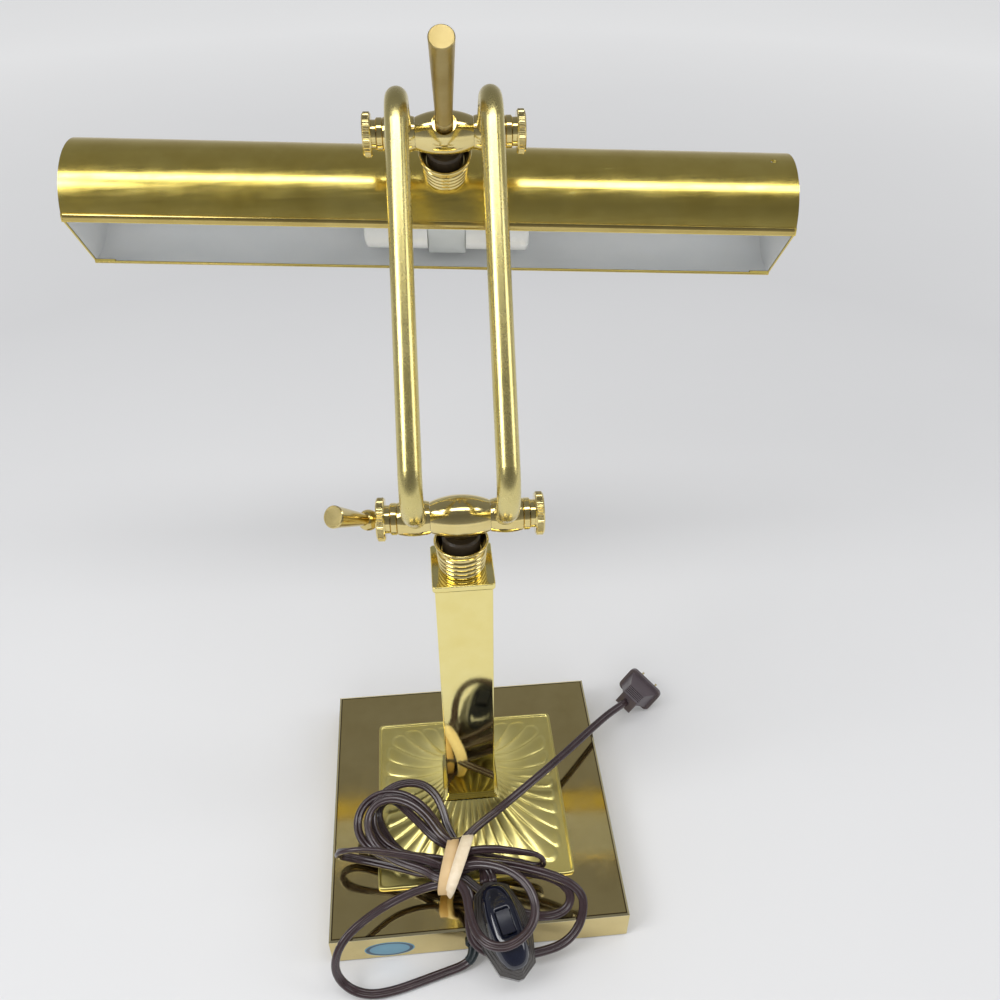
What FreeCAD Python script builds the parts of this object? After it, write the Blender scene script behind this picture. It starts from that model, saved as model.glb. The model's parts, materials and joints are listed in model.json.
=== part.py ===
import FreeCAD, Part
import math
import os

# Piano lamp: a square brass base with a fluted panel, a square column, and a pair of bent
# tube arms that carry a long half-round shade with two bulb sockets.
#
# Frame: the origin is the centre of the base's underside, +Z is up, and the arms lean
# towards +Y. The cord leaves the wall at -Y. All sizes are in millimetres and degrees.

# ---- clearances -----------------------------------------------------------------------
RUNNING_FIT = 0.05          # radial gap of a shaft that turns in its hole
SEAT_FIT = 0.05             # gap of a piece that is pressed or screwed into another
FACE_GAP = 0.15             # gap between faces that turn past each other
SOFT_GAP = 1.2              # gap kept round the tied hank of cord

# ---- base -----------------------------------------------------------------------------
BASE_WIDTH = 180.0
BASE_HEIGHT = 25.4
SHEET = 1.2                 # brass sheet of the base cover
BORDER_WIDTH = 1.2          # sloped border round the top of the cover
BORDER_DROP = 0.6
FELT = 1.2
FELT_INSET = 1.5
WEIGHT_HEIGHT = 15.0
WEIGHT_GAP = 2.0            # gap between the iron weight and the cover's walls
WEIGHT_POCKET_RADIUS = 17.0
WEIGHT_POCKET_DEPTH = 8.0
CORD_CHANNEL = 11.0

# ---- fluted panel ---------------------------------------------------------------------
PANEL_SIDE = 122.0
PANEL_SHEET = 0.8
PANEL_CORNER = 4.0
PANEL_LIP_WIDTH = 1.6
PANEL_LIP_HEIGHT = 0.9
FLUTES = 36
STEPS_PER_FLUTE = 6
FLUTE_RINGS = 7
FLUTE_DEPTH = 1.5
FLUTE_MARGIN = 7.5          # flat strip between the flutes' ends and the panel's edge
MOUND_HEIGHT = 21.0
MOUND_POWER = 2.3           # how quickly the mound flattens away from the column
MOUND_SHELL = 2.2
MOUND_SKIRT = 6.0           # the hollow under the mound is open this far below the panel
OUTER_SQUARENESS = 4.5
INNER_SQUARENESS = 9.0

# ---- column ---------------------------------------------------------------------------
COLUMN_SIDE = 30.0
COLUMN_WALL = 1.5
COLUMN_EDGE = 0.8
FOOT_SIDE = 34.0
FOOT_STEP = 1.0             # each of the foot's three steps goes up by this much
FOOT_INSET = 0.6            # and in by this much on every side
COLUMN_TOP = 235.0
CAP_SIDE = 32.5
CAP_CORNER = 1.8
CAP_TOP_EDGE = 0.5
CAP_BOTTOM_EDGE = 1.3
CAP_PLUG = 6.0              # depth of the cap's tongue inside the column

# ---- tie rod --------------------------------------------------------------------------
ROD_RADIUS = 6.75
ROD_BORE = 5.0
ROD_RISE = 4.0              # how far the rod stands up inside the neck
NUT_FLATS = 19.0
NUT_THICKNESS = 4.0
WASHER_RADIUS = 14.0
WASHER_THICKNESS = 1.6

# ---- neck: ringed cup that each barrel's stem turns in --------------------------------
NECK_TO_AXIS = 33.2         # from the neck's seat to the barrel's axis
NECK_FOOT_RADIUS = 12.3     # lowest of the neck's beads
NECK_BEADS = 4
NECK_BEAD_HEIGHT = 3.05
NECK_FLARE = 0.22           # each bead is this much wider than the one below
NECK_GROOVE = 0.9
CUP_RADIUS = 14.2
CUP_HEIGHT = 18.2
CUP_RIM = 0.8
CUP_WAIST_INSET = 0.7
CUP_FLOOR = 11.5
SLEEVE_RADIUS = 9.8
SLEEVE_GAP = 0.4            # between the sleeve's top and the barrel
BOWL_GAP = 0.5              # between the sleeve and the foot of the cup's bowl
NECK_SCREW_RADIUS = 1.5
NECK_SCREW_HEIGHT = 2.0

# ---- barrels, knuckles and pivots -----------------------------------------------------
LOWER_AXIS_Z = 272.4
BARREL_HALF = 14.9
BARREL_END_RADIUS = 7.9
BARREL_RADIUS = 11.05
STEM_BORE = 3.0
STEM_DEPTH = 2.2            # how far the stem goes below the neck's seat
STEM_GROOVE = 0.8
STEM_GROOVE_HALF = 1.9
PIVOT_RADIUS = 3.0
KNUCKLE_LENGTH = 15.9
KNUCKLE_RADIUS = 9.2
KNUCKLE_END_RADIUS = 8.1
COLLAR_RADIUS = 8.1
COLLAR_LENGTH = 3.6
NUT_HUB_RADIUS = 7.1
NUT_HUB_LENGTH = 2.2
KNOB_RADIUS = 10.75
KNOB_LENGTH = 4.4
KNOB_EDGE = 0.6
PIVOT_INSET = 0.6           # the pivot ends this far inside the nut's outer face

# ---- arms -----------------------------------------------------------------------------
SWIVEL_ANGLE = -1.7         # turn of everything above the neck, seen from above
LEAN = 43.6                 # arms from upright, towards +Y
ARM_SPAN = 196.8            # from the lower pivot to the upper pivot
ARM_OFFSET = 22.0           # each tube from the middle
ARM_RADIUS = 5.5
ARM_WALL = 1.0
ARM_REACH = 49.8            # how far the tubes stand off the line between the pivots
ARM_BEND = 18.0
ARM_SOCKET = 5.0            # the tube's end stops this far from the pivot's axis

# ---- levers ---------------------------------------------------------------------------
LEVER_EDGE = 0.5
LOWER_LEVER_LENGTH = 32.0
LOWER_LEVER_NECK = 2.7
LOWER_LEVER_END = 5.4
LOWER_LEVER_SPREAD = 25.0   # outward angle of the handle
LOWER_LEVER_RISE = 45.0
LOWER_BALL_RADIUS = 5.3
LOWER_BALL_OFFSET = 4.2     # ball centre beyond the nut's outer face
UPPER_LEVER_LENGTH = 81.4   # free end from the upper pivot's axis
UPPER_LEVER_NECK = 4.3
UPPER_LEVER_END = 6.0
UPPER_LEVER_RISE = 46.0
UPPER_HUB_RADIUS = 4.8
UPPER_HUB_START = 8.2
UPPER_HUB_LENGTH = 6.0
UPPER_RECESS_RADIUS = 6.2
SHANK_RADIUS = 2.0

# ---- shade ----------------------------------------------------------------------------
HEAD_TILT = 34.5            # the shade's neck from upright, back towards the base
SHADE_TURN = -3.0           # turn of the shade about its neck
SHADE_LENGTH = 404.0
SHADE_RADIUS = 34.6
SHADE_SHEET = 0.8
SHADE_SHIFT = -6.4          # middle of the shade from its neck
SHADE_OPEN_HALF = 41.9      # half of the angle that is open
SHADE_OPEN_TURN = 87.1      # the opening's middle from straight away from the neck
HEM_WIDTH = 4.4
HEM_SHEET = 0.7
CAP_FLANGE = 11.0
VENT_RADIUS = 1.6
VENT_FROM_END = 12.0
VENT_ANGLE = 24.0           # round the shell from the neck, away from the opening

# ---- sockets --------------------------------------------------------------------------
SOCKET_DROP = 11.5          # socket axis beyond the shade's axis, away from the neck
SOCKET_RADIUS = 16.5
SOCKET_WALL = 2.8
SOCKET_LENGTH = 37.0
SOCKET_FLOOR = 4.0
SOCKET_EDGE = 2.4
SCREW_SHELL_BORE = 13.2     # inside of the screw shell for a medium bulb base
SCREW_SHELL_SHEET = 0.4
SCREW_SHELL_LENGTH = 24.0
CONTACT_RADIUS = 4.0
CONTACT_THICKNESS = 1.5
BRACKET_WIDTH = 22.6
BRACKET_DEPTH = 27.0
BRACKET_HEIGHT = 30.0
BRACKET_SHEET = 1.2
WIRE_HOLE = 4.0

# ---- cord -----------------------------------------------------------------------------
CORD_WIDTH = 5.4
BUSHING_X = -4.4
BUSHING_Z = 11.0
BUSHING_RADIUS = 4.2
BUSHING_FLANGE = 5.4
BUSHING_FLANGE_THICKNESS = 2.4
BUSHING_INSIDE = 3.0        # how far the bushing's clip stands inside the wall

# from the bushing along the floor, up over the base's front left corner to the hank
CORD_ROUTE_IN = (
    (-4.4, -92.4, 11.0), (-5.0, -97.6, 9.0), (-10.6, -101.2, 5.0), (-22.0, -103.4, 3.2),
    (-37.0, -107.2, 2.9), (-53.0, -111.4, 3.2), (-67.6, -112.4, 2.9), (-79.6, -109.2, 6.8),
    (-86.6, -104.0, 17.4), (-84.8, -98.6, 29.4), (-77.4, -91.4, 37.0), (-65.6, -82.0, 36.4),
    (-53.0, -73.6, 34.2), (-40.4, -69.0, 35.2), (-29.0, -67.2, 37.4), (-20.6, -66.2, 38.6))

# from the hank over the panel and the base's right side to the plug
CORD_ROUTE_OUT = (
    (-8.3, -43.6, 46.2), (3.6, -35.6, 48.4), (18.0, -26.2, 50.0), (33.5, -13.6, 48.8),
    (50.6, 1.2, 46.0), (69.1, 18.5, 42.2), (86.0, 35.3, 38.0), (101.4, 50.4, 33.4),
    (112.0, 59.6, 29.6), (119.0, 65.9, 26.5))

# ---- hank of cord, its band -----------------------------------------------------------
HANK_FLOOR = 28.6
HANK_TOP_LEFT = 48.0
HANK_TOP_RIGHT = 51.0
HANK_DROOP = 13.0           # lowest point of the loops in front of the base
WAIST_CENTRE = (-13.5, -56.4, 39.4)
WAIST_HALF = (14.8, 9.6)    # half sizes across the base and up
WAIST_LENGTH = 14.0
BAND_WIDTH = 9.6
BAND_SHEET = 1.0
LEFT_LOOPS = ((-18.2, -43.0), (-20.8, -24.0), (-25.0, -6.0), (-42.0, 9.0), (-66.0, 10.0),
              (-79.0, -4.0), (-84.0, -22.0), (-84.0, -40.0), (-81.0, -48.5), (-60.0, -56.5),
              (-32.0, -61.5), (-18.2, -63.2))
RIGHT_LOOPS = ((-8.8, -72.0), (-4.0, -90.0), (2.0, -104.0), (16.0, -113.0), (38.0, -111.0),
               (57.0, -103.0), (67.0, -91.0), (65.0, -74.0), (50.0, -58.0), (30.0, -49.0),
               (8.0, -46.0), (-8.8, -43.0))

# ---- plug -----------------------------------------------------------------------------
PLUG_FACE = (135.5, 87.2, 13.7)     # middle of the face that the blades stand on
PLUG_HEADING = 52.5                 # direction of the blades, seen from above, from +X
PLUG_DIP = 25.0                     # below level
PLUG_ROLL = 21.8
PLUG_FLANGE = (28.6, 20.0, 3.0)
PLUG_FLANGE_CORNER = 4.0
PLUG_BODY_FRONT = (24.0, 15.0)
PLUG_BODY_LENGTH = 12.0
PLUG_RELIEF = (13.0, 10.4, 15.0)
PLUG_RIBS = 5
PLUG_RIB_DEPTH = 0.7
BLADE = (1.5, 6.4, 16.0)
BLADE_SPACING = 12.7

# ---- switch on the cord ---------------------------------------------------------------
SWITCH_PLACE = (13.3, -93.2, 27.4)  # middle of its underside
SWITCH_TURN = 195.0                 # its nose, from +Y
SWITCH_TILT = 10.0                  # nose down
SWITCH_LENGTH = 58.0
SWITCH_WIDTH = 31.0
SWITCH_MIDDLE = 14.0                # length of the straight sides
SWITCH_SHOULDER = 22.0              # width where the pointed ends begin
SWITCH_POINT = 5.8                  # length of a pointed end
SWITCH_TIP = 3.0                    # width of its blunt tip
SWITCH_LOWER = 8.4
SWITCH_STEPS = 3                    # ridges round the lower half's shoulders
SWITCH_STEP = 1.3
SWITCH_STEP_RISE = 1.6
SWITCH_TOP_INSET = 5.2              # foot of the upper half from the outline
SWITCH_TOP_SLOPE = 2.6
SWITCH_TOP_RISE = 7.6
SWITCH_TOP_EDGE = 1.6
ROCKER_LENGTH = 14.0
ROCKER_WIDTH = 8.0
ROCKER_DEPTH = 3.0
ROCKER_RISE = 1.8
ROCKER_GAP = 0.4


# ---- general helpers ------------------------------------------------------------------
def vec(x, y, z):
    return FreeCAD.Vector(x, y, z)


def rz(radius, height):
    """A point of a turned outline: radius from the Z axis, and height."""
    return vec(radius, 0, height)


def outline(start, *moves):
    """Closed wire. A move is an end point, or a (through, end) pair for an arc."""
    edges = []
    here = start
    for move in moves:
        through, end = move if isinstance(move, tuple) else (None, move)
        if through is None:
            edges.append(Part.LineSegment(here, end).toShape())
        else:
            edges.append(Part.Arc(here, through, end).toShape())
        here = end
    if (here - start).Length > 1e-6:
        edges.append(Part.LineSegment(here, start).toShape())
    return Part.Wire(edges)


def turned(start, *moves):
    """Solid turned about Z from an outline of rz points."""
    return Part.Face(outline(start, *moves)).revolve(vec(0, 0, 0), vec(0, 0, 1), 360)


def cylinder(radius, length, foot, axis):
    return Part.makeCylinder(radius, length, foot, axis)


def along_x(shape):
    """Turn a shape made about +Z so that its +Z points along +X."""
    return shape.rotated(vec(0, 0, 0), vec(0, 1, 0), 90)


def mirrored_x(shape):
    return shape.mirror(vec(0, 0, 0), vec(1, 0, 0))


def rounded_square(side, corner, z):
    """Square wire with round corners, centred on the Z axis."""
    h = side / 2
    c = h - corner
    m = c + corner * math.sqrt(0.5)
    return outline(
        vec(c, -h, z), (vec(m, -m, z), vec(h, -c, z)),
        vec(h, c, z), (vec(m, m, z), vec(c, h, z)),
        vec(-c, h, z), (vec(-m, m, z), vec(-h, c, z)),
        vec(-h, -c, z), (vec(-m, -m, z), vec(-c, -h, z)))


def square_block(side, corner, z, height):
    return Part.Face(rounded_square(side, corner, z)).extrude(vec(0, 0, height))


def nut_corner():
    """Radius of a hexagon nut over its corners."""
    return NUT_FLATS / 2 / math.cos(math.pi / 6)


def hexagon(z, thickness):
    """Hexagon nut blank with flats towards +X and -X."""
    angles = [(k + 0.5) * math.pi / 3 for k in range(7)]
    points = [vec(nut_corner() * math.cos(a), nut_corner() * math.sin(a), z) for a in angles]
    return Part.Face(Part.makePolygon(points)).extrude(vec(0, 0, thickness))


# ---- placements of the moving groups --------------------------------------------------
def turn(axis, degrees):
    return FreeCAD.Placement(vec(0, 0, 0), FreeCAD.Rotation(axis, degrees))


def shift(x, y, z):
    return FreeCAD.Placement(vec(x, y, z), FreeCAD.Rotation())


X_AXIS = vec(1, 0, 0)
Z_AXIS = vec(0, 0, 1)
SWIVEL_FRAME = turn(Z_AXIS, SWIVEL_ANGLE) * shift(0, 0, LOWER_AXIS_Z)
ARM_FRAME = SWIVEL_FRAME * turn(X_AXIS, -LEAN)
UPPER_PIVOT = ARM_FRAME * shift(0, 0, ARM_SPAN)
HEAD_FRAME = UPPER_PIVOT * turn(X_AXIS, LEAN + HEAD_TILT)
SHADE_FRAME = HEAD_FRAME * turn(Z_AXIS, SHADE_TURN)


def placed(shape, frame):
    result = shape.copy()
    result.transformShape(frame.toMatrix(), True)
    return result


# ---- base -----------------------------------------------------------------------------
def base_cover():
    height = BASE_HEIGHT - FELT
    half = BASE_WIDTH / 2
    body = Part.makeBox(BASE_WIDTH, BASE_WIDTH, height, vec(-half, -half, FELT))
    rim = [e for e in body.Edges if min(v.Z for v in e.Vertexes) > BASE_HEIGHT - 0.1]
    body = body.makeChamfer(BORDER_DROP, BORDER_WIDTH, rim)
    inner = BASE_WIDTH - 2 * SHEET
    body = body.cut(Part.makeBox(inner, inner, height - SHEET - BORDER_DROP,
                                 vec(-inner / 2, -inner / 2, FELT)))
    body = body.cut(cylinder(ROD_RADIUS + SEAT_FIT, BASE_HEIGHT, vec(0, 0, 0), Z_AXIS))
    return body.cut(bushing_hole())


def bushing_hole():
    radius = BUSHING_RADIUS + SEAT_FIT
    return cylinder(radius, 3 * SHEET, vec(BUSHING_X, -BASE_WIDTH / 2 - SHEET, BUSHING_Z), vec(0, 1, 0))


def base_felt():
    side = BASE_WIDTH - 2 * FELT_INSET
    return Part.makeBox(side, side, FELT, vec(-side / 2, -side / 2, 0))


def base_weight():
    side = BASE_WIDTH - 2 * (SHEET + WEIGHT_GAP)
    body = Part.makeBox(side, side, WEIGHT_HEIGHT, vec(-side / 2, -side / 2, FELT))
    body = body.cut(cylinder(ROD_RADIUS + SEAT_FIT, WEIGHT_HEIGHT, vec(0, 0, FELT), Z_AXIS))
    body = body.cut(cylinder(WEIGHT_POCKET_RADIUS, WEIGHT_POCKET_DEPTH, vec(0, 0, FELT), Z_AXIS))
    channel = Part.makeBox(CORD_CHANNEL, side / 2, WEIGHT_HEIGHT,
                           vec(BUSHING_X - CORD_CHANNEL / 2, -side / 2, FELT))
    return body.cut(channel)


def tie_rod():
    foot = FELT + 1.0
    top = neck_seat() + ROD_RISE
    rod = cylinder(ROD_RADIUS, top - foot, vec(0, 0, foot), Z_AXIS)
    rod = rod.cut(cylinder(ROD_BORE, top - foot, vec(0, 0, foot), Z_AXIS))
    return rod.cut(neck_screw_hole(neck_seat()))


def pocket_top():
    return FELT + WEIGHT_POCKET_DEPTH


def tie_washer():
    z = pocket_top() - WASHER_THICKNESS
    disc = cylinder(WASHER_RADIUS, WASHER_THICKNESS, vec(0, 0, z), Z_AXIS)
    return disc.cut(cylinder(ROD_RADIUS + SEAT_FIT, WASHER_THICKNESS, vec(0, 0, z), Z_AXIS))


def tie_nut():
    z = pocket_top() - WASHER_THICKNESS - NUT_THICKNESS
    nut = hexagon(z, NUT_THICKNESS)
    return nut.cut(cylinder(ROD_RADIUS + SEAT_FIT, NUT_THICKNESS, vec(0, 0, z), Z_AXIS))


# ---- fluted panel ---------------------------------------------------------------------
def mound_half(t):
    """Half size of the mound's outline, from the column's foot (0) to the flutes' ends (1)."""
    inner = FOOT_SIDE / 2 + 0.4
    outer = PANEL_SIDE / 2 - FLUTE_MARGIN
    return inner + (outer - inner) * t


def mound_point(t, angle, grow, lift):
    """A point of the mound: square-ish outline, height falling off outwards."""
    power = INNER_SQUARENESS + (OUTER_SQUARENESS - INNER_SQUARENESS) * t
    c = abs(math.cos(angle)) ** power
    s = abs(math.sin(angle)) ** power
    radius = (mound_half(t) + grow) / (c + s) ** (1 / power)
    z = panel_top() + MOUND_HEIGHT * (1 - t) ** MOUND_POWER + lift
    return vec(radius * math.cos(angle), radius * math.sin(angle), z)


def panel_top():
    return BASE_HEIGHT + PANEL_SHEET


def flute_depth(t):
    """The flutes are shallow at the column, deepest halfway and end in round petals."""
    return FLUTE_DEPTH * (0.45 + 0.55 * math.sin(math.pi * min(t * 0.9 + 0.1, 1.0)))


def fluted_ring(t, lift=0):
    count = FLUTES * STEPS_PER_FLUTE
    points = []
    for k in range(count):
        angle = 2 * math.pi * k / count
        crest = 0.5 + 0.5 * math.cos(FLUTES * angle)
        points.append(mound_point(t, angle, 0, flute_depth(t) * crest + lift))
    return Part.makePolygon(points + [points[0]])


def plain_ring(t, grow, lift):
    count = FLUTES
    points = [mound_point(t, 2 * math.pi * k / count, grow, lift) for k in range(count)]
    return Part.makePolygon(points + [points[0]])


def level_ring(ring, z):
    """The same ring laid flat at a height, to close a loft."""
    points = [vec(v.X, v.Y, z) for v in ring.OrderedVertexes]
    return Part.makePolygon(points + [points[0]])


def mound():
    rings = [fluted_ring(1 - k / FLUTE_RINGS) for k in range(FLUTE_RINGS + 1)]
    foot = level_ring(rings[0], panel_top() - PANEL_SHEET / 2)
    top = level_ring(rings[-1], foot_base())
    return Part.makeLoft([foot] + rings + [top], True, True)


def mound_hollow():
    rings = [plain_ring(1 - k / FLUTE_RINGS, -MOUND_SHELL, -MOUND_SHELL)
             for k in range(1, FLUTE_RINGS + 1)]
    foot = level_ring(rings[0], BASE_HEIGHT - MOUND_SKIRT)
    return Part.makeLoft([foot] + rings, True, True)


def sunburst_panel():
    plate = square_block(PANEL_SIDE, PANEL_CORNER, BASE_HEIGHT, PANEL_SHEET + PANEL_LIP_HEIGHT)
    dish = square_block(PANEL_SIDE - 2 * PANEL_LIP_WIDTH, PANEL_CORNER - PANEL_LIP_WIDTH,
                        panel_top(), PANEL_LIP_HEIGHT)
    body = plate.cut(dish).fuse(mound()).cut(mound_hollow())
    hole = cylinder(ROD_RADIUS + SEAT_FIT, 2 * MOUND_HEIGHT, vec(0, 0, BASE_HEIGHT - 1), Z_AXIS)
    return body.cut(hole)


# ---- column ---------------------------------------------------------------------------
def foot_base():
    """Height of the flutes' crests at the column, where its foot stands."""
    return panel_top() + MOUND_HEIGHT + flute_depth(0)


def column_base():
    return foot_base() + FOOT_STEP


def column_foot():
    z = foot_base()
    body = square_block(FOOT_SIDE, COLUMN_EDGE, z, FOOT_STEP)
    for step in (1, 2):
        side = FOOT_SIDE - 2 * step * FOOT_INSET
        body = body.fuse(square_block(side, COLUMN_EDGE, z + step * FOOT_STEP, FOOT_STEP))
    pocket = square_block(COLUMN_SIDE + 2 * SEAT_FIT, COLUMN_EDGE, column_base(), 3 * FOOT_STEP)
    body = body.cut(pocket)
    return body.cut(cylinder(ROD_RADIUS + SEAT_FIT, 4 * FOOT_STEP, vec(0, 0, z), Z_AXIS))


def column_tube():
    height = COLUMN_TOP - column_base()
    body = square_block(COLUMN_SIDE, COLUMN_EDGE, column_base(), height)
    inner = COLUMN_SIDE - 2 * COLUMN_WALL
    return body.cut(Part.makeBox(inner, inner, height, vec(-inner / 2, -inner / 2, column_base())))


def neck_seat():
    return LOWER_AXIS_Z - NECK_TO_AXIS


def column_cap():
    lip = neck_seat() - COLUMN_TOP
    body = square_block(CAP_SIDE, CAP_CORNER, COLUMN_TOP, lip)
    level = [e for e in body.Edges if e.BoundBox.ZLength < 1e-6]
    body = body.makeFillet(CAP_TOP_EDGE, [e for e in level if e.BoundBox.ZMin > neck_seat() - 0.1])
    level = [e for e in body.Edges if e.BoundBox.ZMax < COLUMN_TOP + 1e-6]
    body = body.makeFillet(CAP_BOTTOM_EDGE, level)
    tongue_side = COLUMN_SIDE - 2 * COLUMN_WALL - 2 * SEAT_FIT
    tongue = Part.makeBox(tongue_side, tongue_side, CAP_PLUG,
                          vec(-tongue_side / 2, -tongue_side / 2, COLUMN_TOP - CAP_PLUG))
    body = body.fuse(tongue)
    return body.cut(cylinder(ROD_RADIUS + SEAT_FIT, CAP_PLUG + lip + 1,
                             vec(0, 0, COLUMN_TOP - CAP_PLUG), Z_AXIS))


# ---- neck -----------------------------------------------------------------------------
def neck_screw_hole(seat):
    return cylinder(NECK_SCREW_RADIUS + SEAT_FIT, 2 * CUP_RADIUS,
                    vec(0, 0, seat + NECK_SCREW_HEIGHT), vec(0, 1, 0))


def bead_radius(index):
    return NECK_FOOT_RADIUS + index * NECK_FLARE


def neck():
    """Ringed cup, standing on z = 0 with its mouth up."""
    bore = ROD_RADIUS + SEAT_FIT
    moves = [rz(bead_radius(0) - NECK_GROOVE, 0)]
    z = 0.0
    for index in range(NECK_BEADS):
        radius = bead_radius(index)
        moves.append((rz(radius, z + NECK_BEAD_HEIGHT / 2), rz(radius - NECK_GROOVE, z + NECK_BEAD_HEIGHT)))
        z += NECK_BEAD_HEIGHT
    shoulder = CUP_HEIGHT - CUP_RIM
    flare = rz(bead_radius(NECK_BEADS) - CUP_WAIST_INSET, (z + shoulder) / 2)
    crown = rz(CUP_RADIUS - CUP_RIM, CUP_HEIGHT)
    moves += [(flare, rz(CUP_RADIUS, shoulder)), (crown, rz(CUP_RADIUS - 2 * CUP_RIM, shoulder))]
    moves += [rz(SLEEVE_RADIUS + BOWL_GAP, CUP_FLOOR), rz(ROD_BORE, CUP_FLOOR)]
    moves += [rz(ROD_BORE, ROD_RISE + SEAT_FIT), rz(bore, ROD_RISE + SEAT_FIT), rz(bore, 0)]
    body = turned(rz(bore, 0), *moves)
    return body.cut(neck_screw_hole(0))


def saddled_neck():
    """Neck with a foot that follows the round of the shade's shell."""
    radius = bead_radius(0) - NECK_GROOVE
    skirt = cylinder(radius, shell_sag(radius), vec(0, 0, -shell_sag(radius)), Z_AXIS)
    skirt = skirt.cut(cylinder(ROD_RADIUS + SEAT_FIT, 2 * radius, vec(0, 0, -radius), Z_AXIS))
    shell = cylinder(SHADE_RADIUS + SEAT_FIT, 4 * radius, vec(-2 * radius, 0, -SHADE_RADIUS), X_AXIS)
    return neck().fuse(skirt).cut(shell)


def sleeve():
    """Black friction sleeve that stands in the cup round the stem."""
    top = NECK_TO_AXIS - BARREL_RADIUS - SLEEVE_GAP
    bore = stem_radius() + FACE_GAP
    return turned(rz(bore, CUP_FLOOR), rz(SLEEVE_RADIUS, CUP_FLOOR), rz(SLEEVE_RADIUS, top - 1),
                  rz(SLEEVE_RADIUS - 1, top), rz(bore, top))


def neck_screw():
    """Grub screw that keeps the stem in the neck."""
    tip = ROD_BORE + 0.3 - STEM_GROOVE
    length = NECK_FOOT_RADIUS - NECK_GROOVE - tip
    return cylinder(NECK_SCREW_RADIUS, length, vec(0, tip, NECK_SCREW_HEIGHT), vec(0, 1, 0))


# ---- barrels and pivots ---------------------------------------------------------------
def stem_radius():
    return ROD_BORE - RUNNING_FIT


def barrel():
    """Barrel about the X axis with its stem pointing down."""
    body = along_x(turned(rz(0, -BARREL_HALF), rz(BARREL_END_RADIUS, -BARREL_HALF),
                          (rz(BARREL_RADIUS, 0), rz(BARREL_END_RADIUS, BARREL_HALF)),
                          rz(0, BARREL_HALF)))
    foot = -NECK_TO_AXIS - STEM_DEPTH
    stem = cylinder(stem_radius(), -foot, vec(0, 0, foot), Z_AXIS)
    low = NECK_SCREW_HEIGHT - NECK_TO_AXIS - STEM_GROOVE_HALF
    high = low + 2 * STEM_GROOVE_HALF
    inner = stem_radius() - STEM_GROOVE
    groove = turned(rz(inner, low), rz(inner + 2, low), rz(inner + 2, high), rz(inner, high))
    body = body.fuse(stem.cut(groove))
    body = body.cut(cylinder(STEM_BORE, -foot - BARREL_END_RADIUS, vec(0, 0, foot), Z_AXIS))
    bore = cylinder(PIVOT_RADIUS + SEAT_FIT, 2 * BARREL_HALF, vec(-BARREL_HALF, 0, 0), X_AXIS)
    return body.cut(bore)


def nut_face():
    """Outer face of a knurled nut, from the middle."""
    return nut_start() + NUT_HUB_LENGTH + KNOB_LENGTH


def knuckle_start():
    return BARREL_HALF + FACE_GAP


def collar_start():
    return knuckle_start() + KNUCKLE_LENGTH + FACE_GAP


def nut_start():
    return collar_start() + COLLAR_LENGTH + FACE_GAP


def knuckle():
    """Right-hand knuckle with the socket that holds the end of an arm tube."""
    a = knuckle_start()
    b = a + KNUCKLE_LENGTH
    bore = PIVOT_RADIUS + RUNNING_FIT
    body = along_x(turned(rz(bore, a), rz(KNUCKLE_END_RADIUS, a),
                          (rz(KNUCKLE_RADIUS, (a + b) / 2), rz(KNUCKLE_END_RADIUS, b)), rz(bore, b)))
    socket = cylinder(ARM_RADIUS + SEAT_FIT, KNUCKLE_RADIUS, vec(ARM_OFFSET, -ARM_SOCKET, 0), vec(0, -1, 0))
    return body.cut(socket)


def collar():
    a = collar_start()
    b = a + COLLAR_LENGTH
    bore = PIVOT_RADIUS + RUNNING_FIT
    edge = 0.5
    return along_x(turned(rz(bore, a), rz(COLLAR_RADIUS - edge, a), rz(COLLAR_RADIUS, a + edge),
                          rz(COLLAR_RADIUS, b - edge), rz(COLLAR_RADIUS - edge, b), rz(bore, b)))


def knurled_nut():
    a = nut_start()
    b = a + NUT_HUB_LENGTH
    c = nut_face()
    bore = PIVOT_RADIUS + RUNNING_FIT
    return along_x(turned(rz(bore, a), rz(NUT_HUB_RADIUS, a), rz(NUT_HUB_RADIUS, b),
                          rz(KNOB_RADIUS - KNOB_EDGE, b), rz(KNOB_RADIUS, b + KNOB_EDGE),
                          rz(KNOB_RADIUS, c - KNOB_EDGE), rz(KNOB_RADIUS - KNOB_EDGE, c),
                          rz(bore, c)))


def pivot(left, right):
    return cylinder(PIVOT_RADIUS, right - left, vec(left, 0, 0), X_AXIS)


# ---- arms -----------------------------------------------------------------------------
def arm():
    """Right-hand tube: a long straight with both ends bent round to the pivots."""
    x = ARM_OFFSET
    near = -ARM_SOCKET
    bend = ARM_REACH - ARM_BEND
    corner = ARM_REACH - ARM_BEND * (1 - math.sqrt(0.5))
    inset = ARM_BEND * (1 - math.sqrt(0.5))
    points = [vec(x, near, 0), vec(x, -bend, 0), vec(x, -corner, inset), vec(x, -ARM_REACH, ARM_BEND)]
    top = [vec(p.x, p.y, ARM_SPAN - p.z) for p in reversed(points)]
    path = Part.Wire([
        Part.LineSegment(points[0], points[1]).toShape(),
        Part.Arc(points[1], points[2], points[3]).toShape(),
        Part.LineSegment(points[3], top[0]).toShape(),
        Part.Arc(top[0], top[1], top[2]).toShape(),
        Part.LineSegment(top[2], top[3]).toShape()])
    outer = path.makePipeShell([ring_wire(ARM_RADIUS, points[0], vec(0, -1, 0))], True, True)
    inner = path.makePipeShell([ring_wire(ARM_RADIUS - ARM_WALL, points[0], vec(0, -1, 0))], True, True)
    return outer.cut(inner)


def ring_wire(radius, centre, axis):
    return Part.Wire([Part.makeCircle(radius, centre, axis)])


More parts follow.
